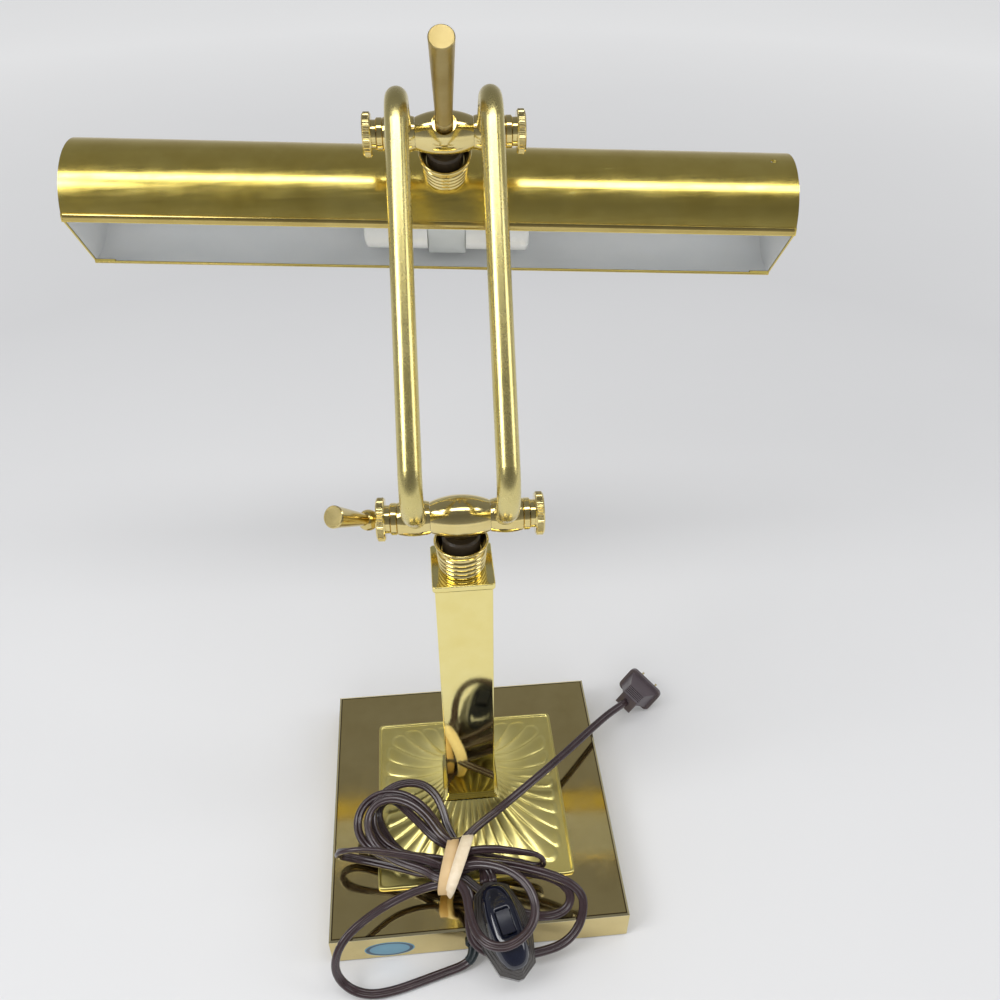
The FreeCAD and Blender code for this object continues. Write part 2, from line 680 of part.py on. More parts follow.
# ---- levers ---------------------------------------------------------------------------
def handle(start, neck_radius, end, end_radius):
    """Tapered handle along +Z, widening to a flat free end."""
    return turned(rz(0, start), rz(neck_radius, start), rz(end_radius, end - LEVER_EDGE),
                  rz(end_radius - LEVER_EDGE, end), rz(0, end))


def lower_lever():
    """Ball on the left end of the lower pivot, with its handle."""
    centre = -nut_face() - LOWER_BALL_OFFSET
    face = LOWER_BALL_OFFSET - FACE_GAP
    face_radius = math.sqrt(LOWER_BALL_RADIUS ** 2 - face ** 2)
    bore = PIVOT_RADIUS + RUNNING_FIT
    floor = -FACE_GAP
    ball = turned(rz(0, -LOWER_BALL_RADIUS), (rz(LOWER_BALL_RADIUS, 0), rz(face_radius, face)),
                  rz(0, face))
    grip = handle(0, LOWER_LEVER_NECK, LOWER_LEVER_LENGTH, LOWER_LEVER_END)
    tilt = turn(vec(0, 1, 0), -90) * turn(X_AXIS, 90 - LOWER_LEVER_RISE)
    grip = placed(grip, tilt * turn(vec(0, 1, 0), -LOWER_LEVER_SPREAD))
    body = ball.fuse(grip).cut(cylinder(bore, 2 * face, vec(0, 0, floor), Z_AXIS))
    return along_x(body).translated(vec(centre, 0, 0))


def upper_lever():
    """Clamp screw with a long tapered handle, along +Z from the pivot's axis."""
    tip = PIVOT_RADIUS + FACE_GAP
    low = UPPER_HUB_START
    high = UPPER_HUB_START + UPPER_HUB_LENGTH
    edge = 0.6
    body = turned(rz(0, tip), rz(SHANK_RADIUS, tip), rz(SHANK_RADIUS, low),
                  rz(UPPER_HUB_RADIUS - edge, low), rz(UPPER_HUB_RADIUS, low + edge),
                  rz(UPPER_HUB_RADIUS, high - edge), rz(UPPER_LEVER_NECK, high),
                  rz(UPPER_LEVER_END, UPPER_LEVER_LENGTH - LEVER_EDGE),
                  rz(UPPER_LEVER_END - LEVER_EDGE, UPPER_LEVER_LENGTH), rz(0, UPPER_LEVER_LENGTH))
    return body


def upper_lever_aim():
    return UPPER_PIVOT * turn(X_AXIS, LEAN) * turn(X_AXIS, 90 - UPPER_LEVER_RISE)


def upper_barrel():
    """Barrel with the stepped recess that the clamp screw goes into."""
    body = placed(barrel(), HEAD_FRAME)
    step = UPPER_HUB_START - FACE_GAP
    recess = cylinder(UPPER_RECESS_RADIUS, BARREL_RADIUS, vec(0, 0, step), Z_AXIS)
    shank_hole = cylinder(SHANK_RADIUS + RUNNING_FIT, BARREL_RADIUS, vec(0, 0, 0), Z_AXIS)
    return body.cut(placed(recess.fuse(shank_hole), upper_lever_aim()))


# ---- shade ----------------------------------------------------------------------------
def shade_axis_z():
    return -(NECK_TO_AXIS + SHADE_RADIUS)


def shell_sag(radius, shell=SHADE_RADIUS):
    """How far a round shell falls away at a distance from its top line."""
    return shell - math.sqrt(shell ** 2 - radius ** 2)


def shade_point(radius, degrees, x):
    """Point at an angle round the shade's axis, measured from the opening's middle."""
    a = math.radians(degrees - SHADE_OPEN_TURN)
    return vec(x, radius * math.sin(a), shade_axis_z() - radius * math.cos(a))


def shade_band(outer, inner, start, end, x, length):
    """Part of a ring about the shade's axis, from angle start to angle end."""
    middle = (start + end) / 2
    wire = outline(shade_point(outer, start, x),
                   (shade_point(outer, middle, x), shade_point(outer, end, x)),
                   shade_point(inner, end, x),
                   (shade_point(inner, middle, x), shade_point(inner, start, x)))
    return Part.Face(wire).extrude(vec(length, 0, 0))


def shade_shell():
    left = SHADE_SHIFT - SHADE_LENGTH / 2
    start = SHADE_OPEN_HALF
    end = 360 - SHADE_OPEN_HALF
    body = shade_band(SHADE_RADIUS, SHADE_RADIUS - SHADE_SHEET, start, end, left, SHADE_LENGTH)
    hem = math.degrees(HEM_WIDTH / SHADE_RADIUS)
    for a, b in ((start, start + hem), (end - hem, end)):
        body = body.fuse(shade_band(SHADE_RADIUS + HEM_SHEET, SHADE_RADIUS - SHADE_SHEET / 2, a, b,
                                    left, SHADE_LENGTH))
    body = body.cut(cylinder(ROD_RADIUS + SEAT_FIT, SHADE_RADIUS, vec(0, 0, shade_axis_z()), Z_AXIS))
    vent_angle = math.radians(VENT_ANGLE)
    direction = vec(0, math.sin(vent_angle), math.cos(vent_angle))
    vent_x = SHADE_SHIFT + SHADE_LENGTH / 2 - VENT_FROM_END
    vent = cylinder(VENT_RADIUS, 2 * SHADE_RADIUS, vec(vent_x, 0, shade_axis_z()), direction)
    return body.cut(vent).removeSplitter()


def end_cap():
    """Flat end of the shade with the flange that lies inside the shell, at the right."""
    outer = SHADE_RADIUS - SHADE_SHEET - SEAT_FIT
    x = SHADE_SHIFT + SHADE_LENGTH / 2 - SHADE_SHEET
    start = SHADE_OPEN_HALF
    end = 360 - SHADE_OPEN_HALF
    wire = outline(shade_point(outer, start, x), (shade_point(outer, 180, x), shade_point(outer, end, x)))
    plate = Part.Face(wire).extrude(vec(SHADE_SHEET, 0, 0))
    flange = shade_band(outer, outer - SHADE_SHEET, start, end, x - CAP_FLANGE, CAP_FLANGE)
    body = plate.fuse(flange)
    vent_angle = math.radians(VENT_ANGLE)
    direction = vec(0, math.sin(vent_angle), math.cos(vent_angle))
    vent_x = SHADE_SHIFT + SHADE_LENGTH / 2 - VENT_FROM_END
    if vent_x + VENT_RADIUS > x - CAP_FLANGE:
        body = body.cut(cylinder(VENT_RADIUS, 2 * SHADE_RADIUS, vec(vent_x, 0, shade_axis_z()), direction))
    return body


# ---- sockets --------------------------------------------------------------------------
def socket_axis_z():
    return shade_axis_z() - SOCKET_DROP


def bracket_top():
    return socket_axis_z() + BRACKET_HEIGHT / 2


def socket_bracket():
    """Steel box between the two sockets, hung on the nipple."""
    half_w = BRACKET_WIDTH / 2
    half_d = BRACKET_DEPTH / 2
    body = Part.makeBox(BRACKET_WIDTH, BRACKET_DEPTH, BRACKET_HEIGHT,
                        vec(-half_w, -half_d, bracket_top() - BRACKET_HEIGHT))
    body = body.makeFillet(BRACKET_SHEET, body.Edges)
    hollow = Part.makeBox(BRACKET_WIDTH - 2 * BRACKET_SHEET, BRACKET_DEPTH - 2 * BRACKET_SHEET,
                          BRACKET_HEIGHT - 2 * BRACKET_SHEET,
                          vec(-half_w + BRACKET_SHEET, -half_d + BRACKET_SHEET,
                              bracket_top() - BRACKET_HEIGHT + BRACKET_SHEET))
    body = body.cut(hollow)
    body = body.cut(cylinder(ROD_RADIUS + SEAT_FIT, 3 * BRACKET_SHEET,
                             vec(0, 0, bracket_top() - 2 * BRACKET_SHEET), Z_AXIS))
    return body.cut(cylinder(WIRE_HOLE, BRACKET_WIDTH, vec(-half_w, 0, socket_axis_z()), X_AXIS))


def shade_nipple():
    """Hollow threaded pipe from the neck, through the shell, into the bracket."""
    top = -NECK_TO_AXIS + ROD_RISE
    foot = bracket_top() - BRACKET_SHEET - NUT_THICKNESS - 1.5
    body = cylinder(ROD_RADIUS, top - foot, vec(0, 0, foot), Z_AXIS)
    body = body.cut(cylinder(ROD_BORE, top - foot, vec(0, 0, foot), Z_AXIS))
    return body.cut(neck_screw_hole(-NECK_TO_AXIS))


def nipple_nut(top):
    z = top - NUT_THICKNESS
    nut = hexagon(z, NUT_THICKNESS)
    return nut.cut(cylinder(ROD_RADIUS + SEAT_FIT, NUT_THICKNESS, vec(0, 0, z), Z_AXIS))


def shade_nuts():
    """One nut clamps the shell against the neck, the other holds the bracket."""
    inside = SHADE_RADIUS - SHADE_SHEET
    upper = nipple_nut(-NECK_TO_AXIS - SHADE_SHEET - SEAT_FIT - shell_sag(nut_corner(), inside))
    lower = nipple_nut(bracket_top() - BRACKET_SHEET)
    return Part.makeCompound([upper, lower])


def socket():
    """Right-hand socket, mouth outwards."""
    a = BRACKET_WIDTH / 2
    b = a + SOCKET_LENGTH
    inner = SOCKET_RADIUS - SOCKET_WALL
    e = SOCKET_EDGE
    half = e * math.sqrt(0.5)
    mouth = (rz(SOCKET_RADIUS - e + half, b - e + half), rz(SOCKET_RADIUS - e, b))
    body = along_x(turned(rz(WIRE_HOLE, a), rz(SOCKET_RADIUS, a), rz(SOCKET_RADIUS, b - e), mouth,
                          rz(inner, b), rz(inner, a + SOCKET_FLOOR), rz(WIRE_HOLE, a + SOCKET_FLOOR)))
    return body.translated(vec(0, 0, socket_axis_z()))


def screw_shell():
    a = BRACKET_WIDTH / 2 + SOCKET_FLOOR + 2 * CONTACT_THICKNESS
    b = a + SCREW_SHELL_LENGTH
    outer = SOCKET_RADIUS - SOCKET_WALL - SEAT_FIT
    inner = SCREW_SHELL_BORE
    body = along_x(turned(rz(inner, a), rz(outer, a), rz(outer, b), rz(inner, b)))
    return body.translated(vec(0, 0, socket_axis_z()))


def contact():
    a = BRACKET_WIDTH / 2 + SOCKET_FLOOR
    body = turned(rz(0, a), rz(CONTACT_RADIUS + 1, a), rz(CONTACT_RADIUS + 1, a + 0.4),
                  rz(CONTACT_RADIUS, a + 0.4), rz(CONTACT_RADIUS - 1, a + CONTACT_THICKNESS),
                  rz(0, a + CONTACT_THICKNESS))
    return along_x(body).translated(vec(0, 0, socket_axis_z()))


# ---- cord -----------------------------------------------------------------------------
def cord_tube(name, route):
    """Round tube along straight runs joined by arcs as large as the runs allow."""
    points = [vec(*p) for p in route]
    lengths = [(b - a).Length for a, b in zip(points, points[1:])]
    edges = []
    radii = []
    here = points[0]
    for k in range(1, len(points) - 1):
        before = (points[k] - points[k - 1]).normalize()
        after = (points[k + 1] - points[k]).normalize()
        reach = 0.45 * min(lengths[k - 1], lengths[k])
        half_turn = before.getAngle(after) / 2
        radius = reach / math.tan(half_turn)
        inward = (after - before).normalize()
        middle = points[k] + inward * (radius / math.cos(half_turn) - radius)
        start = points[k] - before * reach
        end = points[k] + after * reach
        edges.append(Part.LineSegment(here, start).toShape())
        edges.append(Part.Arc(start, middle, end).toShape())
        here = end
        radii.append(radius)
    edges.append(Part.LineSegment(here, points[-1]).toShape())
    path = Part.Wire(edges)
    section = ring_wire(CORD_WIDTH / 2, points[0], points[1] - points[0])
    tube = path.makePipeShell([section], True, True)
    expected = math.pi * CORD_WIDTH ** 2 / 4 * path.Length
    print(name, "length", round(path.Length, 1), "volume / section x length",
          round(tube.Volume / expected, 4), "radii", [round(r, 1) for r in radii])
    return tube


def cord_bushing():
    """Strain relief in the base's wall, with its flange outside."""
    wall = -BASE_WIDTH / 2
    flange = cylinder(BUSHING_FLANGE, BUSHING_FLANGE_THICKNESS,
                      vec(BUSHING_X, wall - BUSHING_FLANGE_THICKNESS, BUSHING_Z), vec(0, 1, 0))
    rim = [e for e in flange.Edges if abs(e.CenterOfMass.y - wall + BUSHING_FLANGE_THICKNESS) < 1e-3]
    flange = flange.makeFillet(1.0, rim)
    clip = cylinder(BUSHING_RADIUS, SHEET, vec(BUSHING_X, wall, BUSHING_Z), vec(0, 1, 0))
    tail = cylinder(BUSHING_RADIUS + 0.4, BUSHING_INSIDE, vec(BUSHING_X, wall + SHEET, BUSHING_Z),
                    vec(0, 1, 0))
    return flange.fuse(clip).fuse(tail)


# ---- hank -----------------------------------------------------------------------------
def prism(corners, low, high):
    points = [vec(x, y, low) for x, y in corners]
    return Part.Face(Part.makePolygon(points + [points[0]])).extrude(vec(0, 0, high - low))


def oval(grow):
    """Oval wire round the hank's waist, in the plane across its length."""
    half_y, half_z = WAIST_HALF
    oval_curve = Part.Ellipse(vec(0, 0, 0), half_y + grow, half_z + grow)
    wire = Part.Wire([oval_curve.toShape()])
    return wire.rotated(vec(0, 0, 0), Z_AXIS, 90).rotated(vec(0, 0, 0), vec(0, 1, 0), 90)


def oval_bar(grow, length):
    """Oval bar along X, centred on the hank's waist."""
    wire = oval(grow)
    bounds = wire.BoundBox
    if bounds.ZLength > bounds.YLength:
        wire = wire.rotated(vec(0, 0, 0), X_AXIS, 90)
    bar = Part.Face(wire).extrude(vec(length, 0, 0))
    return bar.translated(vec(*WAIST_CENTRE) - vec(length / 2, 0, 0))


def cord_bundle():
    """Outer shape of the tied hank: two lobes of loops joined by a waist."""
    left = prism(LEFT_LOOPS, HANK_FLOOR, HANK_TOP_LEFT)
    right = prism(RIGHT_LOOPS, HANK_DROOP, HANK_TOP_RIGHT)
    wall = -BASE_WIDTH / 2 - SOFT_GAP - 1.5
    right = right.cut(Part.makeBox(BASE_WIDTH, BASE_WIDTH, HANK_FLOOR, vec(-BASE_WIDTH / 2, wall, 0)))
    body = left.fuse(right).fuse(oval_bar(0, WAIST_LENGTH))
    rings = [plain_ring(1 - k / FLUTE_RINGS, SOFT_GAP, FLUTE_DEPTH + SOFT_GAP)
             for k in range(FLUTE_RINGS + 1)]
    body = body.cut(Part.makeLoft([plain_ring(1.0, SOFT_GAP, -1)] + rings, True, True))
    pocket = switch_outline(SOFT_GAP)
    pocket = Part.Face(pocket).extrude(vec(0, 0, 60)).translated(vec(0, 0, -SOFT_GAP))
    return body.cut(placed(pocket, switch_frame()))


def bundle_band():
    outer = oval_bar(BAND_SHEET, BAND_WIDTH)
    return outer.cut(oval_bar(0, BAND_WIDTH))


# ---- plug -----------------------------------------------------------------------------
def plug_frame():
    heading = turn(Z_AXIS, PLUG_HEADING - 90)
    dip = turn(X_AXIS, -90 - PLUG_DIP)
    return shift(*PLUG_FACE) * heading * dip * turn(Z_AXIS, PLUG_ROLL)


def rectangle(width, depth, z):
    w = width / 2
    d = depth / 2
    return Part.makePolygon([vec(-w, -d, z), vec(w, -d, z), vec(w, d, z), vec(-w, d, z), vec(-w, -d, z)])


def plug_body():
    width, depth, thickness = PLUG_FLANGE
    flange = Part.makeBox(width, depth, thickness, vec(-width / 2, -depth / 2, -thickness))
    corners = [e for e in flange.Edges if abs(e.Vertexes[0].Z - e.Vertexes[-1].Z) > 1]
    flange = flange.makeFillet(PLUG_FLANGE_CORNER, corners)
    rw, rd, rl = PLUG_RELIEF
    neck_z = -thickness - PLUG_BODY_LENGTH
    body = Part.makeLoft([rectangle(*PLUG_BODY_FRONT, -thickness), rectangle(rw, rd, neck_z)], True, True)
    relief = Part.makeBox(rw, rd, rl, vec(-rw / 2, -rd / 2, neck_z - rl))
    pitch = rl / (PLUG_RIBS + 1)
    for k in range(PLUG_RIBS):
        z = neck_z - (k + 1) * pitch
        groove = Part.makeBox(rw, rd, pitch / 2, vec(-rw / 2, -rd / 2, z))
        core = Part.makeBox(rw - 2 * PLUG_RIB_DEPTH, rd - 2 * PLUG_RIB_DEPTH, pitch / 2,
                            vec(-rw / 2 + PLUG_RIB_DEPTH, -rd / 2 + PLUG_RIB_DEPTH, z))
        relief = relief.cut(groove.cut(core))
    return placed(flange.fuse(body).fuse(relief), plug_frame())


def plug_blade(side):
    thick, width, length = BLADE
    blade = Part.makeBox(thick, width, length, vec(side * BLADE_SPACING / 2 - thick / 2, -width / 2, 0))
    return placed(blade, plug_frame())


# ---- switch ---------------------------------------------------------------------------
def switch_frame():
    """Origin in the middle of the underside, +Y to the nose, +Z out of the top."""
    return shift(*SWITCH_PLACE) * turn(Z_AXIS, SWITCH_TURN) * turn(X_AXIS, -SWITCH_TILT)


def switch_end(grow, end):
    """Corners of the outline at one end (+1 the nose, -1 the tail), anticlockwise."""
    half_w = SWITCH_WIDTH / 2 + grow
    half_l = SWITCH_LENGTH / 2 + grow
    shoulder = SWITCH_SHOULDER / 2 + grow
    point = half_l - SWITCH_POINT
    corners = ((half_w, SWITCH_MIDDLE / 2), (shoulder, point), (SWITCH_TIP / 2, half_l),
               (-SWITCH_TIP / 2, half_l), (-shoulder, point), (-half_w, SWITCH_MIDDLE / 2))
    return [(end * x, end * y) for x, y in corners]


def switch_outline(grow, z=0):
    points = [vec(x, y, z) for x, y in switch_end(grow, 1) + switch_end(grow, -1)]
    return Part.makePolygon(points + [points[0]])


def switch_lower_half():
    """Boat-shaped lower half with ridged shoulders."""
    wall = SWITCH_LOWER - SWITCH_STEPS * SWITCH_STEP_RISE
    body = Part.Face(switch_outline(0)).extrude(vec(0, 0, wall))
    for step in range(SWITCH_STEPS):
        foot = wall + step * SWITCH_STEP_RISE
        low = switch_outline(-(step + 0.3) * SWITCH_STEP, foot)
        high = switch_outline(-(step + 1) * SWITCH_STEP, foot + SWITCH_STEP_RISE)
        body = body.fuse(Part.makeLoft([low, high], True, True))
    return placed(body, switch_frame())


def switch_upper_half():
    """Faceted upper half with a well for the rocker."""
    z = SWITCH_LOWER
    top = z + SWITCH_TOP_RISE
    inset = SWITCH_TOP_INSET + SWITCH_TOP_SLOPE
    rings = [switch_outline(-SWITCH_TOP_INSET, z), switch_outline(-inset, top - SWITCH_TOP_EDGE),
             switch_outline(-inset - SWITCH_TOP_EDGE, top)]
    body = Part.makeLoft(rings, True, True)
    well_w = ROCKER_WIDTH + 2 * ROCKER_GAP
    well_l = ROCKER_LENGTH + 2 * ROCKER_GAP
    depth = ROCKER_DEPTH + ROCKER_GAP
    well = Part.makeBox(well_w, well_l, depth, vec(-well_w / 2, -well_l / 2, top - depth))
    return placed(body.cut(well), switch_frame())


def rocker_axis_z():
    return SWITCH_LOWER + SWITCH_TOP_RISE - ROCKER_DEPTH / 2


def switch_rocker():
    """Rocker with a rounded underside, so it can tip in its well."""
    z = rocker_axis_z()
    half = ROCKER_LENGTH / 2 - 0.3
    top = z + ROCKER_DEPTH / 2 + ROCKER_RISE
    crown = top - 0.9
    x = -ROCKER_WIDTH / 2
    wire = outline(vec(x, -half, crown + 0.4), (vec(x, 0, crown - 0.4), vec(x, half, crown + 0.4)),
                   vec(x, half, z + 0.3), (vec(x, 0, z - ROCKER_DEPTH / 2), vec(x, -half, z + 0.3)))
    return placed(Part.Face(wire).extrude(vec(ROCKER_WIDTH, 0, 0)), switch_frame())


# ---- nodes ----------------------------------------------------------------------------
def base_nodes():
    seat = shift(0, 0, neck_seat())
    return {
        "base_felt": base_felt(),
        "base_weight": base_weight(),
        "base_cover": base_cover(),
        "sunburst_panel": sunburst_panel(),
        "cord_bushing": cord_bushing(),
        "column_foot": column_foot(),
        "column_tube": column_tube(),
        "column_cap": column_cap(),
        "tie_rod": tie_rod(),
        "tie_washer": tie_washer(),
        "tie_nut": tie_nut(),
        "lower_neck": placed(neck(), seat),
        "lower_sleeve": placed(sleeve(), seat),
        "lower_neck_screw": placed(neck_screw(), seat),
    }


def pivot_nodes(prefix, frame, barrel_shape):
    """Barrel, rod, collars and knurled nuts of one pivot."""
    reach = nut_face() - PIVOT_INSET
    left = -nut_face() - LOWER_BALL_OFFSET if prefix == "lower" else -reach
    nodes = {
        prefix + "_barrel": barrel_shape,
        prefix + "_pivot_rod": placed(pivot(left, reach), frame),
    }
    for side, flip in (("right", False), ("left", True)):
        for name, shape in (("collar", collar()), ("knurled_nut", knurled_nut())):
            shape = mirrored_x(shape) if flip else shape
            nodes[prefix + "_" + side + "_" + name] = placed(shape, frame)
    return nodes


def arm_nodes():
    nodes = {}
    for side, flip in (("right", False), ("left", True)):
        tube = mirrored_x(arm()) if flip else arm()
        link = mirrored_x(knuckle()) if flip else knuckle()
        upper_link = link.mirror(vec(0, 0, ARM_SPAN / 2), vec(0, 0, 1))
        nodes[side + "_arm_tube"] = placed(tube, ARM_FRAME)
        nodes[side + "_lower_knuckle"] = placed(link, ARM_FRAME)
        nodes[side + "_upper_knuckle"] = placed(upper_link, ARM_FRAME)
    return nodes


def shade_nodes():
    seat = SHADE_FRAME * shift(0, 0, -NECK_TO_AXIS)
    nodes = {
        "upper_neck": placed(saddled_neck(), seat),
        "upper_sleeve": placed(sleeve(), seat),
        "upper_neck_screw": placed(neck_screw(), seat),
        "shade_shell": placed(shade_shell(), SHADE_FRAME),
        "shade_nipple": placed(shade_nipple(), SHADE_FRAME),
        "socket_bracket": placed(socket_bracket(), SHADE_FRAME),
    }
    upper_nut, lower_nut = shade_nuts().Solids
    nodes["shade_clamp_nut"] = placed(upper_nut, SHADE_FRAME)
    nodes["bracket_nut"] = placed(lower_nut, SHADE_FRAME)
    left_cap = end_cap().mirror(vec(SHADE_SHIFT, 0, 0), vec(1, 0, 0))
    nodes["right_end_cap"] = placed(end_cap(), SHADE_FRAME)
    nodes["left_end_cap"] = placed(left_cap, SHADE_FRAME)
    for name, shape in (("socket", socket()), ("screw_shell", screw_shell()), ("contact", contact())):
        nodes["right_" + name] = placed(shape, SHADE_FRAME)
        nodes["left_" + name] = placed(mirrored_x(shape), SHADE_FRAME)
    return nodes


def cord_nodes():
    return {
        "cord_to_bundle": cord_tube("cord_to_bundle", CORD_ROUTE_IN),
        "cord_bundle": cord_bundle(),
        "bundle_band": bundle_band(),
        "cord_to_plug": cord_tube("cord_to_plug", CORD_ROUTE_OUT),
        "plug_body": plug_body(),
        "plug_left_blade": plug_blade(-1),
        "plug_right_blade": plug_blade(1),
        "switch_lower_half": switch_lower_half(),
        "switch_upper_half": switch_upper_half(),
        "switch_rocker": switch_rocker(),
    }


def main():
    os.makedirs("parts", exist_ok=True)
    nodes = base_nodes()
    nodes.update(pivot_nodes("lower", SWIVEL_FRAME, placed(barrel(), SWIVEL_FRAME)))
    nodes.update(arm_nodes())
    nodes.update(pivot_nodes("upper", UPPER_PIVOT, upper_barrel()))
    nodes["lower_lever"] = placed(lower_lever(), SWIVEL_FRAME)
    nodes["upper_lever"] = placed(upper_lever(), upper_lever_aim())
    nodes.update(shade_nodes())
    nodes.update(cord_nodes())
    for name, shape in nodes.items():
        solids = shape.Solids
        if len(solids) != 1 or not shape.isValid():
            print("CHECK", name, "solids", len(solids), "valid", shape.isValid())
        solids[0].exportStep("parts/" + name + ".step")
    print(len(nodes), "nodes")


main()
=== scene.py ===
import bmesh
import bpy
import json
import math
from mathutils import Matrix, Quaternion, Vector


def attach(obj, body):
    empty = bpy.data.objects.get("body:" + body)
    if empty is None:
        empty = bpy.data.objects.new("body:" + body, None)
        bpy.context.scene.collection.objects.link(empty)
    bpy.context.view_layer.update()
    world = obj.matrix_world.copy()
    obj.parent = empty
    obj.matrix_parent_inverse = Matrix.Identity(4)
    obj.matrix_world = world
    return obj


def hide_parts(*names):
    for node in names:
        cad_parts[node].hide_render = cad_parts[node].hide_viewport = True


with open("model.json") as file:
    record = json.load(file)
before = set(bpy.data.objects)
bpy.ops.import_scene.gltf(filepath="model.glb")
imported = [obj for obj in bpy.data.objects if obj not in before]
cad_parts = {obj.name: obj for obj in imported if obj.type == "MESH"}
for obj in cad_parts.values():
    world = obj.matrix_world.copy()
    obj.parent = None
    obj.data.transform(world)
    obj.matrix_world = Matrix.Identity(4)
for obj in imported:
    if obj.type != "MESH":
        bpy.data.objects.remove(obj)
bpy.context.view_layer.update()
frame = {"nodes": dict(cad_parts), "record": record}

# Piano lamp. The frame is the CAD's, in metres: +Z up, +X along the shade, the cord's side is -Y.
# The points of the cord's route, and the numbers of the switch, the band and the knurls' teeth,
# are in millimetres and are scaled where they are used. Other lengths are in metres.

MM = 0.001

# ---- the cord's route ---------------------------------------------------------------------
CORD_WIDTH = 5.4 * MM
CORD_THICK = 3.0 * MM

# From the bushing over the floor and up to the hank, and from the hank to the plug.
ROUTE_IN = (
    (-4.4, -92.4, 11.0), (-5.0, -97.6, 9.0), (-10.6, -101.2, 5.0), (-22.0, -103.4, 3.2),
    (-37.0, -107.2, 2.9), (-53.0, -111.4, 3.2), (-67.6, -112.4, 2.9), (-79.6, -109.2, 6.8),
    (-86.6, -104.0, 17.4), (-84.8, -98.6, 29.4), (-77.4, -91.4, 37.0), (-65.6, -82.0, 36.4),
    (-53.0, -73.6, 34.2), (-40.4, -69.0, 35.2), (-29.0, -67.2, 37.4))
OUT_OF_BAND = ((-14.5, -45.5, 46.5), (-7.0, -44.5, 46.0))
ROUTE_OUT = (
    (-3.0, -40.6, 47.2), (3.6, -35.6, 48.4), (18.0, -26.2, 50.0), (33.5, -13.6, 48.8),
    (50.6, 1.2, 46.0), (69.1, 18.5, 42.2), (86.0, 35.3, 38.0), (101.4, 50.4, 33.4),
    (112.0, 59.6, 29.6), (119.0, 65.9, 26.5))

# The hank's loops, each from the band round and back to it. The first cord has three on each
# side and ends in the switch, and the second one goes on from there to the plug.
WAIST = (-13.5, -56.4, 39.4)
RIGHT_OUTER = (
    (-5.0, -73.0, 38.0), (-6.5, -81.0, 35.0), (-7.0, -88.5, 30.5), (-6.0, -95.5, 22.5),
    (1.5, -100.0, 16.5), (12.0, -102.0, 14.5), (24.5, -102.5, 14.0), (37.0, -102.0, 15.0),
    (49.0, -100.0, 18.0), (57.5, -95.0, 24.0), (62.0, -87.5, 31.0), (62.0, -81.0, 37.0),
    (56.0, -76.5, 43.0), (45.0, -71.5, 46.0), (31.0, -66.5, 47.0), (16.0, -61.5, 46.5),
    (3.5, -58.0, 44.0))
LEFT_BACK = (
    (-27.0, -50.0, 39.0), (-43.0, -45.0, 36.0), (-56.0, -37.0, 36.0), (-63.0, -26.5, 38.0),
    (-64.0, -16.0, 42.0), (-57.5, -7.5, 47.0), (-45.5, -2.5, 50.0), (-32.0, -3.5, 50.0),
    (-23.0, -10.5, 48.0), (-18.5, -20.5, 44.0), (-16.5, -31.5, 40.0))
RIGHT_MIDDLE = (
    (1.5, -57.5, 36.0), (17.5, -61.5, 38.0), (31.5, -65.5, 40.5), (43.5, -70.0, 41.0),
    (51.5, -75.0, 39.5), (55.5, -80.5, 36.0), (52.0, -86.0, 31.0), (41.5, -88.0, 28.2),
    (29.0, -85.0, 27.0), (17.0, -79.5, 27.0), (5.5, -71.5, 28.5), (-3.0, -65.5, 31.5))
LEFT_LOW = (
    (-30.5, -54.5, 33.5), (-42.5, -44.0, 30.5), (-53.0, -32.0, 30.0), (-59.0, -20.5, 31.0),
    (-61.0, -11.5, 34.0), (-56.5, -6.5, 38.0), (-49.5, -9.0, 41.5), (-42.0, -18.0, 43.0),
    (-34.0, -28.0, 43.5), (-23.0, -41.5, 43.0))
RIGHT_FOLD = (
    (0.5, -50.0, 38.5), (13.5, -54.0, 38.0), (26.0, -57.5, 38.0), (37.5, -61.7, 37.6),
    (41.6, -61.6, 44.3), (37.0, -60.0, 51.0), (24.0, -57.0, 51.0), (12.0, -54.0, 50.5),
    (0.5, -52.0, 48.0))
LEFT_OUTER = (
    (-17.5, -42.5, 46.5), (-25.5, -27.0, 48.0), (-34.0, -16.5, 49.0), (-45.5, -9.0, 49.0),
    (-58.5, -7.0, 47.0), (-68.5, -11.0, 43.5), (-73.5, -19.5, 40.0), (-72.5, -29.5, 37.0),
    (-65.0, -39.5, 36.0), (-51.0, -47.5, 36.5), (-35.0, -53.0, 36.5))
TO_SWITCH = ((-2.5, -53.0, 34.6), (3.2, -57.0, 36.2), (4.0, -62.5, 36.8), (3.6, -67.5, 36.6))
FROM_SWITCH = ((9.2, -67.5, 36.6), (8.8, -62.0, 37.4), (5.0, -57.4, 38.8), (-1.8, -57.6, 39.6))
LEFT_FOLD = (
    (-32.0, -59.0, 37.0), (-46.5, -51.5, 33.0), (-61.0, -45.5, 31.0), (-72.5, -41.5, 30.0),
    (-79.5, -40.5, 32.0), (-84.5, -41.0, 36.0), (-85.0, -42.5, 41.0), (-82.5, -44.5, 46.0),
    (-75.5, -46.0, 49.5), (-64.0, -48.0, 51.0), (-44.0, -52.5, 50.0), (-31.5, -55.5, 49.0))
RIGHT_FRONT = (
    (1.5, -60.5, 47.5), (14.0, -65.5, 50.0), (24.0, -72.5, 51.0), (30.5, -81.5, 50.0),
    (32.5, -91.5, 47.5), (29.0, -101.0, 45.5), (20.5, -108.5, 45.0), (10.0, -111.5, 45.0),
    (0.5, -107.0, 44.5), (-4.5, -98.0, 44.0), (-6.8, -87.5, 44.5), (-7.5, -77.0, 45.5))
